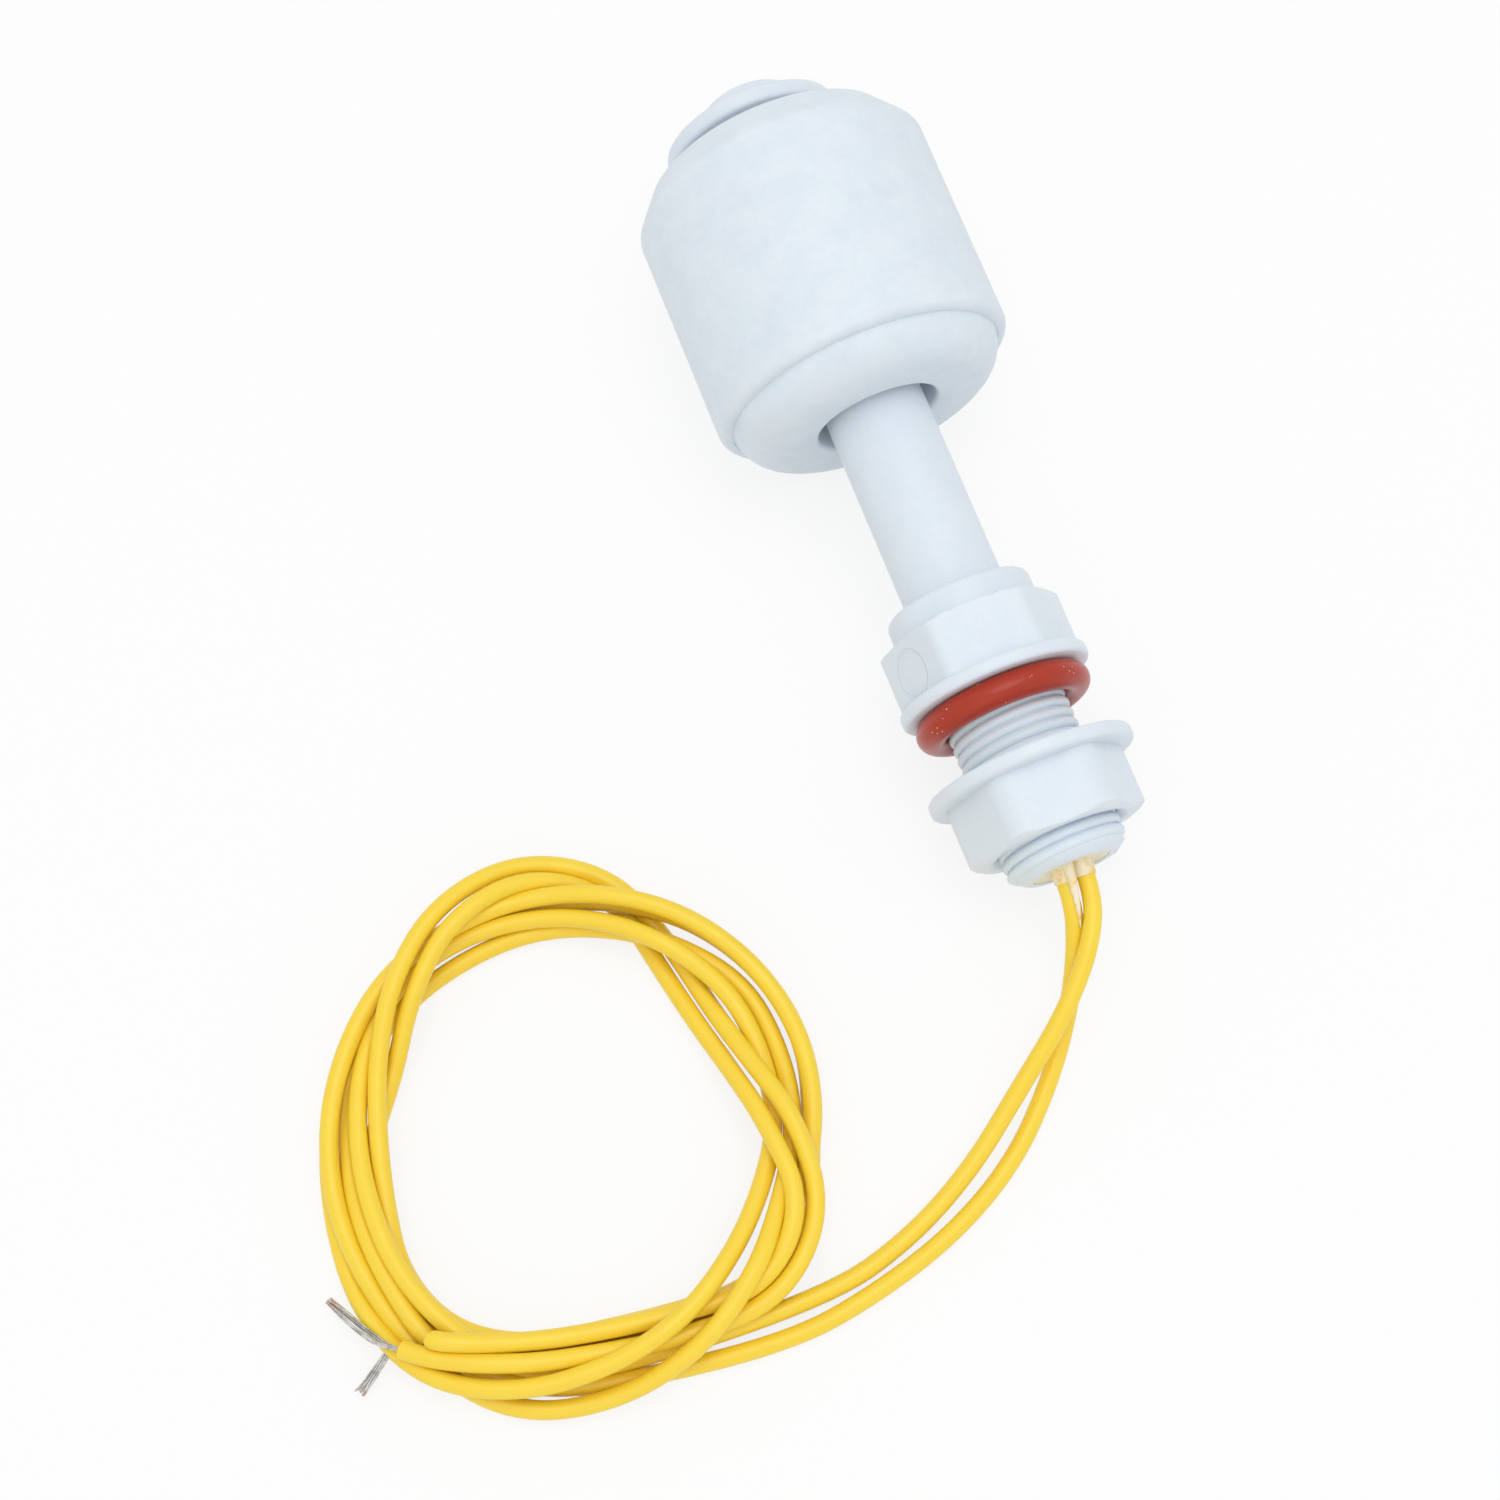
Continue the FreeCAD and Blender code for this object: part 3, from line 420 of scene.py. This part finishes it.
# %% Lock nut
NUT_HEX_LOW = -12.01
NUT_HEX_TOP = -7.115
NUT_HEX_ROUND = 2.2
NUT_OUTLINE = [
    (4.8, -11.5), (4.8, -6.25), (5.1, -5.95), (7.75, -5.95), (7.95, -6.0), (8.08, -6.15),
    (8.1, -6.4), (8.1, -6.7), (8.06, -6.92), (7.92, -7.06), (7.75, -7.1), (7.5, -7.12),
    (7.5, -8.5), (7.5, -9.8), (7.5, -10.6), (7.4, -11.0), (7.2, -11.35), (6.95, -11.62),
    (6.65, -11.83), (6.3, -11.95), (5.95, -12.0), (5.5, -12.0), (5.35, -11.96), (5.2, -11.86),
]
bm = turned(NUT_OUTLINE, closed=True)
milled = mill_hexagon(bm, NUT_HEX_LOW, NUT_HEX_TOP, NUT_HEX_ROUND)
print("points milled on the nut:", milled)
nut = laid_piece("nut", bm, 35)

# %% [markdown]
# The float is a shell and a cap that are welded together, so they are one turned shape here. The
# weld leaves a soft valley where the solid model has a narrow gap, and the edges of the bevel are
# rounded. The clip seats low in its groove, so the float's top has a shallow recess round the
# stem that the clip drops into at the end of the float's travel.

# %% Float


def arc(reach, height, radius, start, end, count):
    """Points on a round edge. Nought degrees points outwards and 90 degrees points up."""
    points = []
    for step in range(count + 1):
        angle = math.radians(start + (end - start) * step / count)
        points.append((reach + radius * math.cos(angle), height + radius * math.sin(angle)))
    return points


FLOAT_OUTLINE = (
    arc(5.3, 24.3, 0.4, 180, 270, 4) + arc(7.8, 27.1, 3.2, 270, 351, 14)
    + [(11.02, 26.70), (11.06, 26.71)] + arc(11.2, 27.45, 0.8, 262, 360, 8)
    + [(12.0, 30.0), (12.0, 44.2), (11.99, 44.4), (11.94, 44.56), (11.87, 44.68)]
    + [(10.16, 46.98), (10.06, 47.1), (9.94, 47.18), (9.78, 47.2), (7.95, 47.2), (7.88, 47.14)]
    + [(7.85, 46.87), (7.78, 46.8), (5.2, 46.8), (4.96, 46.72), (4.9, 46.5)]
)
float_skin = laid_piece("float_skin", turned(FLOAT_OUTLINE, closed=True, steps=160))
print("faces of the float:", len(float_skin.data.polygons))

# %% [markdown]
# The clip is open on one side, so it cannot be spun. Its section is swept from one side of the
# mouth to the other instead, and the section's inner and outer ends run at their own rates,
# which makes the two sides of the mouth parallel. The outer rim is a little off the bore's
# middle. The section's first two points are at the bore. Each point after them is told by how
# far it is inside the rim, how far it is from the face, and whether that face is the upper one.

# %% Retaining clip
CLIP_LOW, CLIP_TOP = 48.9, 50.3
CLIP_BORE, CLIP_REACH, CLIP_SHIFT = 3.15, 7.15, 0.5
CLIP_TURN = 20.0
HALF_MOUTH = 2.5
CLIP_STEPS = 96
CLIP_SECTION = [
    (0.0, 0.0, False), (0.0, 0.0, True), (0.32, 0.0, True), (0.1, 0.08, True), (0.0, 0.32, True),
    (0.0, 0.32, False), (0.1, 0.08, False), (0.32, 0.0, False),
]

inner_start = math.asin(HALF_MOUTH / CLIP_BORE)
outer_start = math.asin(HALF_MOUTH / CLIP_REACH)
bm = bmesh.new()
sections = []
for step in range(CLIP_STEPS + 1):
    share = step / CLIP_STEPS
    inner_angle = inner_start + (math.tau - 2 * inner_start) * share
    outer_angle = outer_start + (math.tau - 2 * outer_start) * share
    inner = Vector((math.cos(inner_angle), math.sin(inner_angle), 0.0)) * CLIP_BORE
    outer = Vector((math.cos(outer_angle), math.sin(outer_angle), 0.0)) * CLIP_REACH
    outer.x -= CLIP_SHIFT
    section = []
    for index, (inset, depth, upper) in enumerate(CLIP_SECTION):
        spot = inner.copy() if index < 2 else outer + (inner - outer).normalized() * inset
        spot.z = CLIP_TOP - depth if upper else CLIP_LOW + depth
        section.append(bm.verts.new(spot * MM))
    sections.append(section)
for before, after in zip(sections, sections[1:]):
    for index in range(len(CLIP_SECTION)):
        bm.faces.new((before[index - 1], before[index], after[index], after[index - 1]))
bm.faces.new(sections[0])
bm.faces.new(sections[-1])
bmesh.ops.rotate(bm, verts=bm.verts, cent=(0, 0, 0),
                 matrix=Matrix.Rotation(math.radians(CLIP_TURN), 3, "Z"))
clip = laid_piece("clip", bm, 50)
print("faces of the clip:", len(clip.data.polygons))

# %% [markdown]
# The thread's crest is one ridge wound round the tail. A small closed outline of the ridge is
# spun about the tail's middle line, and each step also moves it up a little, which makes a
# helix. It has a right-hand turn, as nearly all threads have.

# %% Wind the thread's ridge
PITCH = 0.87
STEPS_A_TURN = 40
FIRST_RIDGE = 0.45
RIDGE_SHORTER = 0.55
RIDGE = [(-0.5, -0.43), (0.0, -0.41), (0.13, -0.37), (0.23, -0.28), (0.30, -0.15), (0.33, 0.0),
         (0.30, 0.15), (0.23, 0.28), (0.13, 0.37), (0.0, 0.41), (-0.5, 0.43)]

turns = (THREAD_START - THREAD_END - RIDGE_SHORTER) / PITCH
steps = int(turns * STEPS_A_TURN)
bm = bmesh.new()
outline = [bm.verts.new(((THREAD_ROOT + out) * MM, 0.0, (THREAD_END + FIRST_RIDGE + up) * MM))
           for out, up in RIDGE]
sides = [bm.edges.new((outline[index - 1], outline[index])) for index in range(len(outline))]
bm.faces.new(outline)
bmesh.ops.spin(bm, geom=outline + sides, cent=(0, 0, 0), axis=(0, 0, 1),
               dvec=(0, 0, PITCH * MM / STEPS_A_TURN), angle=math.tau * steps / STEPS_A_TURN,
               steps=steps, use_merge=False, use_duplicate=False)
bmesh.ops.holes_fill(bm, edges=[edge for edge in bm.edges if edge.is_boundary])
bmesh.ops.remove_doubles(bm, verts=bm.verts, dist=1e-7)
print("turns of thread:", round(turns, 1))

# %% [markdown]
# The ridge fades out towards the flange, and at the tail's end it is trimmed to the bevel that
# helps the nut on. Both are a limit on how far a point may be from the middle line, and a point
# past the limit is drawn in to it.

# %% Trim the thread's two ends
RUN_OUT = 0.12

ridge_top = max(vert.co.z for vert in bm.verts)
for vert in bm.verts:
    reach = math.hypot(vert.co.x, vert.co.y)
    height = vert.co.z
    most = THREAD_CREST * MM
    if height < BEVEL_START * MM:
        most -= (BEVEL_START * MM - height) * BEVEL_ACROSS / (BEVEL_START - THREAD_END)
    fade = min(1.0, (ridge_top - height) / (RUN_OUT * MM))
    most = min(most, THREAD_ROOT * MM + (THREAD_CREST - THREAD_ROOT) * MM * fade)
    if reach > most:
        vert.co.x *= most / reach
        vert.co.y *= most / reach
thread = laid_piece("thread", bm, 50)
print("faces of the thread:", len(thread.data.polygons))

# %% [markdown]
# Resin closes the tail. It has crept a little up the wall, so its face is a shallow dish. A
# little clear glue has also run down each wire and ends in a lip. Each collar of glue follows
# the first piece of its wire's curve, which is a parabola between the route's first places. A
# last thread of glue was drawn out between the wires and set as a thin bent spike. A collar is
# told by pairs, the share of that piece and the glue's reach there. The spike is told by its
# places, each with the reach as its fourth number.

# %% Shape the resin and the glue
TUBE_SIDES = 28
RESIN_DISH = [(0.0, -13.1), (2.98, -13.1), (2.98, -14.2), (2.8, -14.1), (2.5, -13.93),
              (1.9, -13.8), (0.0, -13.74)]
COLLAR = [(0.0, 1.35), (0.03, 1.06), (0.08, 0.92), (0.15, 0.87), (0.22, 0.84), (0.265, 0.81),
          (0.28, 0.75), (0.275, 0.67)]
SPIKE = [(-0.34, -32.03, 8.20, 0.62), (-0.43, -33.15, 8.15, 0.45), (-0.55, -34.36, 7.95, 0.36),
         (-0.68, -35.54, 7.45, 0.26), (-0.89, -36.68, 6.95, 0.15), (-1.07, -37.59, 6.45, 0.03)]


def tube(bm, rings):
    """Adds a closed tube through rings, each with a middle, a direction and a reach."""
    before = None
    for middle, way, reach in rings:
        place = Matrix.Translation(middle * MM) @ way.to_track_quat("Z", "X").to_matrix().to_4x4()
        ring = bmesh.ops.create_circle(bm, cap_ends=False, segments=TUBE_SIDES,
                                       radius=reach * MM, matrix=place)["verts"]
        if before:
            for index in range(len(ring)):
                bm.faces.new((before[index - 1], before[index], ring[index], ring[index - 1]))
        else:
            bm.faces.new(ring)
        before = ring
    bm.faces.new(before)


bm = bmesh.new()
for lead in (RIGHT_LEAD, LEFT_LEAD):
    first, second = Vector(lead[0]), Vector(lead[1])
    third = (second + Vector(lead[2])) / 2
    rings = []
    for share, reach in COLLAR:
        middle = first * (1 - share) ** 2 + second * 2 * share * (1 - share) + third * share ** 2
        way = (second - first) * (1 - share) + (third - second) * share
        rings.append((middle, way, reach))
    tube(bm, rings)
middles = [Vector(place[:3]) for place in SPIKE]
ways = [end - start for start, end in zip(middles, middles[1:])]
tube(bm, [(middle, way, place[3]) for middle, way, place in zip(middles, ways + ways[-1:], SPIKE)])
glue = laid_piece("glue", bm, 60, Matrix.Identity(4))
resin_dish = laid_piece("resin_dish", turned(RESIN_DISH, closed=False, steps=48), 60)
print("faces of glue:", len(glue.data.polygons))

# %% [markdown]
# Every new piece is told which body it moves with, and the pieces of the solid model that they
# stand in for are hidden. Their finishes are given out further down.

# %% Say what each new piece is
for piece in (right_wire, left_wire, right_strands, left_strands, body, thread, clip, glue,
              resin_dish):
    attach(piece, "switch")
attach(nut, "nut")
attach(float_skin, "float")
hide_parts("lead_right")
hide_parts("lead_left", "wire_coil")
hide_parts("strands_right")
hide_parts("strands_left")
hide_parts("switch_body")
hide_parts("lock_nut")
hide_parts("retaining_clip")
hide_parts("float_shell", "float_cap")
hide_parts("glue_bead")
print("cords declared, each", WIRE_WIDE, "mm thick")

# %% [markdown]
# Finishes are built from shader nodes. Wiring many small Math nodes by hand hides the sum that
# they do, so a small class wraps a node's output and lets Python's own signs add the nodes. It
# has only the signs that are used below, some of them also for a plain number on the left.

# %% Sums of shader nodes


def join(tree, socket, value):
    """Links a field to a socket, or sets the socket to a value."""
    if isinstance(value, Field):
        tree.links.new(value.output, socket)
    elif isinstance(value, tuple) and len(value) == 3 and socket.type == "RGBA":
        socket.default_value = (*value, 1.0)
    else:
        socket.default_value = value


class Field:
    """A shader node's output that takes part in sums."""

    def __init__(self, tree, output):
        self.tree = tree
        self.output = output

    def work_out(self, operation, first, second=None):
        node = self.tree.nodes.new("ShaderNodeMath")
        node.operation = operation
        join(self.tree, node.inputs[0], first)
        if second is not None:
            join(self.tree, node.inputs[1], second)
        return Field(self.tree, node.outputs[0])

    def __add__(self, other):
        return self.work_out("ADD", self, other)

    def __radd__(self, other):
        return self.work_out("ADD", other, self)

    def __sub__(self, other):
        return self.work_out("SUBTRACT", self, other)

    def __rsub__(self, other):
        return self.work_out("SUBTRACT", other, self)

    def __mul__(self, other):
        return self.work_out("MULTIPLY", self, other)

    def __rmul__(self, other):
        return self.work_out("MULTIPLY", other, self)

    def __truediv__(self, other):
        return self.work_out("DIVIDE", self, other)

    def clamped(self):
        return self.work_out("MINIMUM", self.work_out("MAXIMUM", self, 0.0), 1.0)


print("sums on shader nodes are ready")

# %% [markdown]
# A second class holds one material. Its values that are the same all over the surface are set on
# the shader by name, and what changes from place to place is fed to it. One method makes any
# other node, and four more make the noise, the mixed colours, the distances and the bumps that
# the finishes share. Every pattern reads the piece's own coordinates, so it stays on a piece
# that moves.

# %% One material


class Finish:
    """One material with a Principled shader, whose steady values are set by name."""

    def __init__(self, name, **steady):
        self.material = bpy.data.materials.new(name)
        self.material.use_nodes = True
        self.tree = self.material.node_tree
        self.shader = self.tree.nodes["Principled BSDF"]
        for socket, value in steady.items():
            join(self.tree, self.shader.inputs[socket.replace("_", " ")], value)
        self.place = self.node("TexCoord", output="Object")

    def node(self, kind, settings=None, values=None, output=0):
        """Makes a node with its settings first, then its values or links, and gives an output."""
        made = self.tree.nodes.new("ShaderNode" + kind)
        for name, value in (settings or {}).items():
            setattr(made, name, value)
        for name, value in (values or {}).items():
            join(self.tree, made.inputs[name], value)
        return Field(self.tree, made.outputs[output])

    def noise(self, size_mm, detail=2.0, roughness=0.5):
        """Soft noise from 0 to 1 with features of about that size."""
        return self.node("TexNoise", values={"Vector": self.place, "Scale": 1 / (size_mm * MM),
                                             "Detail": detail, "Roughness": roughness})

    def mix(self, share, first, second):
        """A colour that goes from the first to the second as the share goes from 0 to 1."""
        return self.node("Mix", {"data_type": "RGBA"}, {0: share, 6: first, 7: second}, output=2)

    def gap_mm(self, place_mm):
        """How far the surface is from a place, in millimetres."""
        spot = tuple(value * MM for value in place_mm)
        gap = self.node("VectorMath", {"operation": "DISTANCE"}, {0: self.place, 1: spot},
                        output="Value")
        return gap / MM

    def bump(self, height, depth_mm):
        """Bumps whose height of 1 stands for the depth, in millimetres."""
        self.feed(Normal=self.node("Bump", values={"Height": height, "Distance": depth_mm * MM}))

    def feed(self, **links):
        """Feeds the shader's sockets, which are named with _ for a space."""
        for socket, value in links.items():
            join(self.tree, self.shader.inputs[socket.replace("_", " ")], value)


print("a finish can:", [name for name in vars(Finish) if not name.startswith("_")])

# %% [markdown]
# The switch is moulded from pale polypropylene with a blue cast. Such plastic is satin: it has
# soft, wide highlights and a skin with a fine orange-peel. The colour clouds very slightly,
# because the melt is never mixed evenly. The float has the same plastic with a duller, more
# mottled skin, so both come from one recipe with different numbers. The body also has the shallow
# round mark of an ejector pin on one face, a sunk ring round a disc that is a little lower than
# the face.

# %% Moulded plastic
EJECTOR_MARK = (-6.05, -16.25, 11.5)
MARK_REACH = 1.8
MARK_STEEP = 6.0
RING_DEPTH = 6.0
DISC_DEPTH = 2.0


def moulded_plastic(name, light, dark, peel_mm, peel_depth, rough, mark=None):
    finish = Finish(name, IOR=1.49, Subsurface_Weight=0.12, Subsurface_Scale=0.002)
    clouds = finish.noise(2.6, 4.0, 0.65)
    mottle = finish.noise(peel_mm, 4.0, 0.6)
    share = ((clouds - 0.5) * 1.8 + (mottle - 0.5) * 0.8 + 0.5).clamped()
    finish.feed(Base_Color=finish.mix(share, light, dark))
    finish.feed(Roughness=rough + (mottle - 0.5) * 0.18)
    skin = mottle + finish.noise(peel_mm / 4, 2.0) * 0.3
    if mark:
        gap = finish.gap_mm(mark)
        side = (gap - MARK_REACH) * MARK_STEEP
        skin = skin - (1 - side * side).clamped() * RING_DEPTH
        skin = skin - ((MARK_REACH - gap) * MARK_STEEP).clamped() * DISC_DEPTH
    finish.bump(skin, peel_depth)
    return finish.material


body_plastic = moulded_plastic("body_plastic", (0.745, 0.815, 0.875), (0.70, 0.775, 0.85),
                               0.5, 0.012, 0.42, EJECTOR_MARK)
float_plastic = moulded_plastic("float_plastic", (0.76, 0.825, 0.88), (0.68, 0.76, 0.84),
                                0.7, 0.02, 0.5)
print("nodes in the body's plastic:", len(body_plastic.node_tree.nodes))

# %% [markdown]
# The wires' sleeves are soft yellow vinyl with a smooth shine. The sealing ring is red-brown
# silicone, glossier still, and silicone draws dust, so a few pale specks lie on it.

# %% Sleeve and sealing ring
sleeve = Finish("wire_sleeve", IOR=1.52, Subsurface_Weight=0.1, Subsurface_Scale=0.001)
sleeve_cloud = sleeve.noise(3.0, 2.0)
sleeve.feed(Base_Color=sleeve.mix(sleeve_cloud, (0.95, 0.70, 0.050), (0.93, 0.65, 0.038)))
sleeve.feed(Roughness=0.30 + sleeve.noise(0.6, 2.0) * 0.12)
sleeve.bump(sleeve.noise(0.8, 2.0), 0.008)

silicone = Finish("seal_silicone", IOR=1.43, Coat_Roughness=0.12)
specks = silicone.node("TexVoronoi", values={"Vector": silicone.place, "Scale": 2600.0},
                       output="Distance")
dust = ((0.16 - specks) * 20.0).clamped() * ((silicone.noise(1.8, 1.0) - 0.58) * 12.0).clamped()
silicone.feed(Base_Color=silicone.mix(dust, (0.41, 0.030, 0.009), (0.80, 0.66, 0.60)))
silicone.feed(Roughness=0.26 + dust * 0.5 + silicone.noise(1.0) * 0.08)
silicone.feed(Coat_Weight=0.08 * (1 - dust))
silicone.bump(silicone.noise(0.7, 2.0) + dust * 0.6, 0.01)
print("nodes in the sealing ring's silicone:", len(silicone.tree.nodes))

# %% [markdown]
# The strands are tinned copper. Tin is a bright grey metal, but the cut ends show the copper
# inside, so the colour warms close to each bundle's end. The darker streaks in the tin are
# painted shade: they stand for the shade between the strands and the dark in their reflections.

# %% Bare wire


def tinned_copper(name, tip, reach_mm):
    finish = Finish(name, IOR=1.6)
    copper = (1 - finish.gap_mm(tip) / reach_mm).clamped() * finish.noise(0.25, 2.0)
    # Painted shade: the darker streaks stand for the shade between strands and in their
    # reflections.
    painted_shade_streak = ((finish.noise(0.5, 2.0) - 0.5) * 3.0 + 0.5).clamped()
    tin = finish.mix(painted_shade_streak, (0.84, 0.82, 0.79), (0.50, 0.49, 0.47))
    finish.feed(Base_Color=finish.mix(copper, tin, (0.72, 0.38, 0.22)))
    finish.feed(Metallic=0.9 + finish.noise(0.3) * 0.1)
    finish.feed(Roughness=0.18 + finish.noise(0.2) * 0.2)
    finish.bump(finish.noise(0.12), 0.001)
    return finish.material


left_wire_metal = tinned_copper("bare_wire_left", LEFT_BUNDLE[-1], 1.6)
right_wire_metal = tinned_copper("bare_wire_right", RIGHT_BUNDLE[-1], 0.9)
print("bare wire finishes:", left_wire_metal.name, "and", right_wire_metal.name)

# %% [markdown]
# The resin is a cream epoxy with a wet shine. The glue is clear, so the yellow sleeve shows
# through it where it is thin. It is painted as cream with yellow patches, which looks the same
# and stays bright.

# %% Finish the resin and the glue
resin = Finish("resin", IOR=1.55, Subsurface_Weight=0.25, Subsurface_Scale=0.001)
resin.feed(Base_Color=resin.mix(resin.noise(1.5, 3.0), (0.87, 0.83, 0.68), (0.83, 0.75, 0.54)))
resin.feed(Roughness=0.16 + resin.noise(0.8) * 0.12)
resin.bump(resin.noise(2.0), 0.05)

clear_glue = Finish("glue", IOR=1.45)
glue_cloud = ((clear_glue.noise(0.8, 3.0) - 0.47) * 5.0).clamped()
clear_glue.feed(Base_Color=clear_glue.mix(glue_cloud, (0.92, 0.84, 0.62), (0.90, 0.60, 0.12)))
clear_glue.feed(Roughness=0.12 + clear_glue.noise(0.7) * 0.1)
clear_glue.bump(clear_glue.noise(1.2), 0.03)
print("materials so far:", len(bpy.data.materials))

# %% [markdown]
# The reed switch, its solder and the magnet sit inside the closed stem and float. They are
# seldom seen, but a section or a see-through view shows them, so each has its own plain finish
# with the right colour and a little unevenness.

# %% Hidden pieces


def plain_finish(name, light, dark, rough, metal=0.0, grain_mm=0.6, **steady):
    finish = Finish(name, Metallic=metal, **steady)
    grain = finish.noise(grain_mm, 3.0)
    finish.feed(Base_Color=finish.mix(grain, light, dark))
    finish.feed(Roughness=rough + grain * 0.15)
    finish.bump(grain, 0.01)
    return finish.material


magnet = plain_finish("magnet_ferrite", (0.055, 0.055, 0.06), (0.03, 0.03, 0.035), 0.5, 0.3)
glass = plain_finish("reed_glass", (0.80, 0.88, 0.84), (0.74, 0.84, 0.80), 0.03,
                     Transmission_Weight=0.85, IOR=1.5)
dark_sleeve = plain_finish("dark_sleeve", (0.05, 0.05, 0.05), (0.03, 0.03, 0.03), 0.5)
reed_metal = plain_finish("reed_metal", (0.62, 0.61, 0.58), (0.52, 0.51, 0.49), 0.25, 1.0, 0.2)
solder = plain_finish("solder", (0.60, 0.60, 0.60), (0.50, 0.50, 0.51), 0.3, 1.0, 0.3)
print("materials for the switch:", len(bpy.data.materials))

# %% [markdown]
# Now each piece gets its finish. A node of the solid model keeps its mesh, so its finish goes
# into its material slots.

# %% Give out the finishes
FINISHES = {
    "float_plastic": float_plastic, "body_plastic": body_plastic, "magnet": magnet,
    "seal_rubber": silicone.material, "resin": resin.material, "glue": clear_glue.material,
    "glass": glass, "sleeve_plastic": dark_sleeve, "reed_metal": reed_metal, "solder": solder,
    "insulation": sleeve.material, "bare_wire": left_wire_metal,
}


def dress(piece, material):
    if not piece.data.materials:
        piece.data.materials.append(material)
    for index in range(len(piece.data.materials)):
        piece.data.materials[index] = material


for part in frame["record"]["subparts"]:
    dress(nodes[part["node"]], FINISHES[part["material_slot"]])
for piece in (body, thread, nut, clip):
    dress(piece, body_plastic)
dress(float_skin, float_plastic)
dress(resin_dish, resin.material)
for piece in (right_wire, left_wire):
    dress(piece, sleeve.material)
dress(left_strands, left_wire_metal)
dress(right_strands, right_wire_metal)
dress(glue, clear_glue.material)

# %% [markdown]
# The switch is shown on a plain white table in soft light. The table is a large plane whose
# colour is lifted towards white where the camera or a reflection sees it, and the rest stays a
# plain surface, so that it keeps the soft shadow. It lies a hair below the ground, so that no
# face of the switch is level with it.

# %% Table
TABLE_HALF = 1500
TABLE_MIDDLE = Vector((-20.0, -10.0, -0.05))
TABLE_GLOW = 0.8

bm = bmesh.new()
bmesh.ops.create_grid(bm, x_segments=1, y_segments=1, size=TABLE_HALF * MM)
bmesh.ops.translate(bm, verts=bm.verts, vec=TABLE_MIDDLE * MM)
table_mesh = bpy.data.meshes.new("table")
bm.to_mesh(table_mesh)
bm.free()
table = bpy.data.objects.new("table", table_mesh)
bpy.context.scene.collection.objects.link(table)

table_top = Finish("table_top", Base_Color=(0.9, 0.9, 0.9), Roughness=0.9,
                   Specular_IOR_Level=0.0)
camera_ray, glossy_ray, clear_ray = [
    table_top.node("LightPath", output="Is %s Ray" % kind)
    for kind in ("Camera", "Glossy", "Transmission")
]
seen = (camera_ray + glossy_ray + clear_ray).clamped()
plain = Field(table_top.tree, table_top.shader.outputs["BSDF"])
glow = table_top.node("Emission", values={"Color": (1.0, 1.0, 1.0), "Strength": 1.0})
lifted = table_top.node("MixShader", values={0: seen * TABLE_GLOW, 1: plain, 2: glow})
join(table_top.tree, table_top.tree.nodes["Material Output"].inputs["Surface"], lifted)
dress(table, table_top.material)
print("table side:", 2 * TABLE_HALF * MM, "m")

# %% [markdown]
# The light is a bright even room with one large lamp high above the switch, and a very weak one
# on the left in front of it. The room does most of the work, because pale plastic shows its form
# in soft shading, not in hard highlights.

# %% Light
ROOM_LIGHT = 0.80
LAMPS_AIM = Vector((-15.0, -10.0, 5.0))

world = bpy.data.worlds.new("room")
world.use_nodes = True
bpy.context.scene.world = world
room = world.node_tree.nodes["Background"]
room.inputs["Color"].default_value = (1.0, 1.0, 1.0, 1.0)
room.inputs["Strength"].default_value = ROOM_LIGHT


def soft_lamp(name, place_mm, size_mm, watts):
    """A square lamp that shines on the middle of the switch."""
    light = bpy.data.lights.new(name, "AREA")
    light.shape = "SQUARE"
    light.size = size_mm * MM
    light.energy = watts
    lamp = bpy.data.objects.new(name, light)
    lamp.location = Vector(place_mm) * MM
    way = LAMPS_AIM * MM - lamp.location
    lamp.rotation_euler = way.to_track_quat("-Z", "Y").to_euler()
    bpy.context.scene.collection.objects.link(lamp)


soft_lamp("key_lamp", (0, -30, 420), size_mm=300, watts=0.46)
soft_lamp("fill_lamp", (-200, -300, 260), size_mm=260, watts=0.06)
bpy.context.scene.view_settings.view_transform = "Standard"
print("lamps:", len(bpy.data.lights))

# %% [markdown]
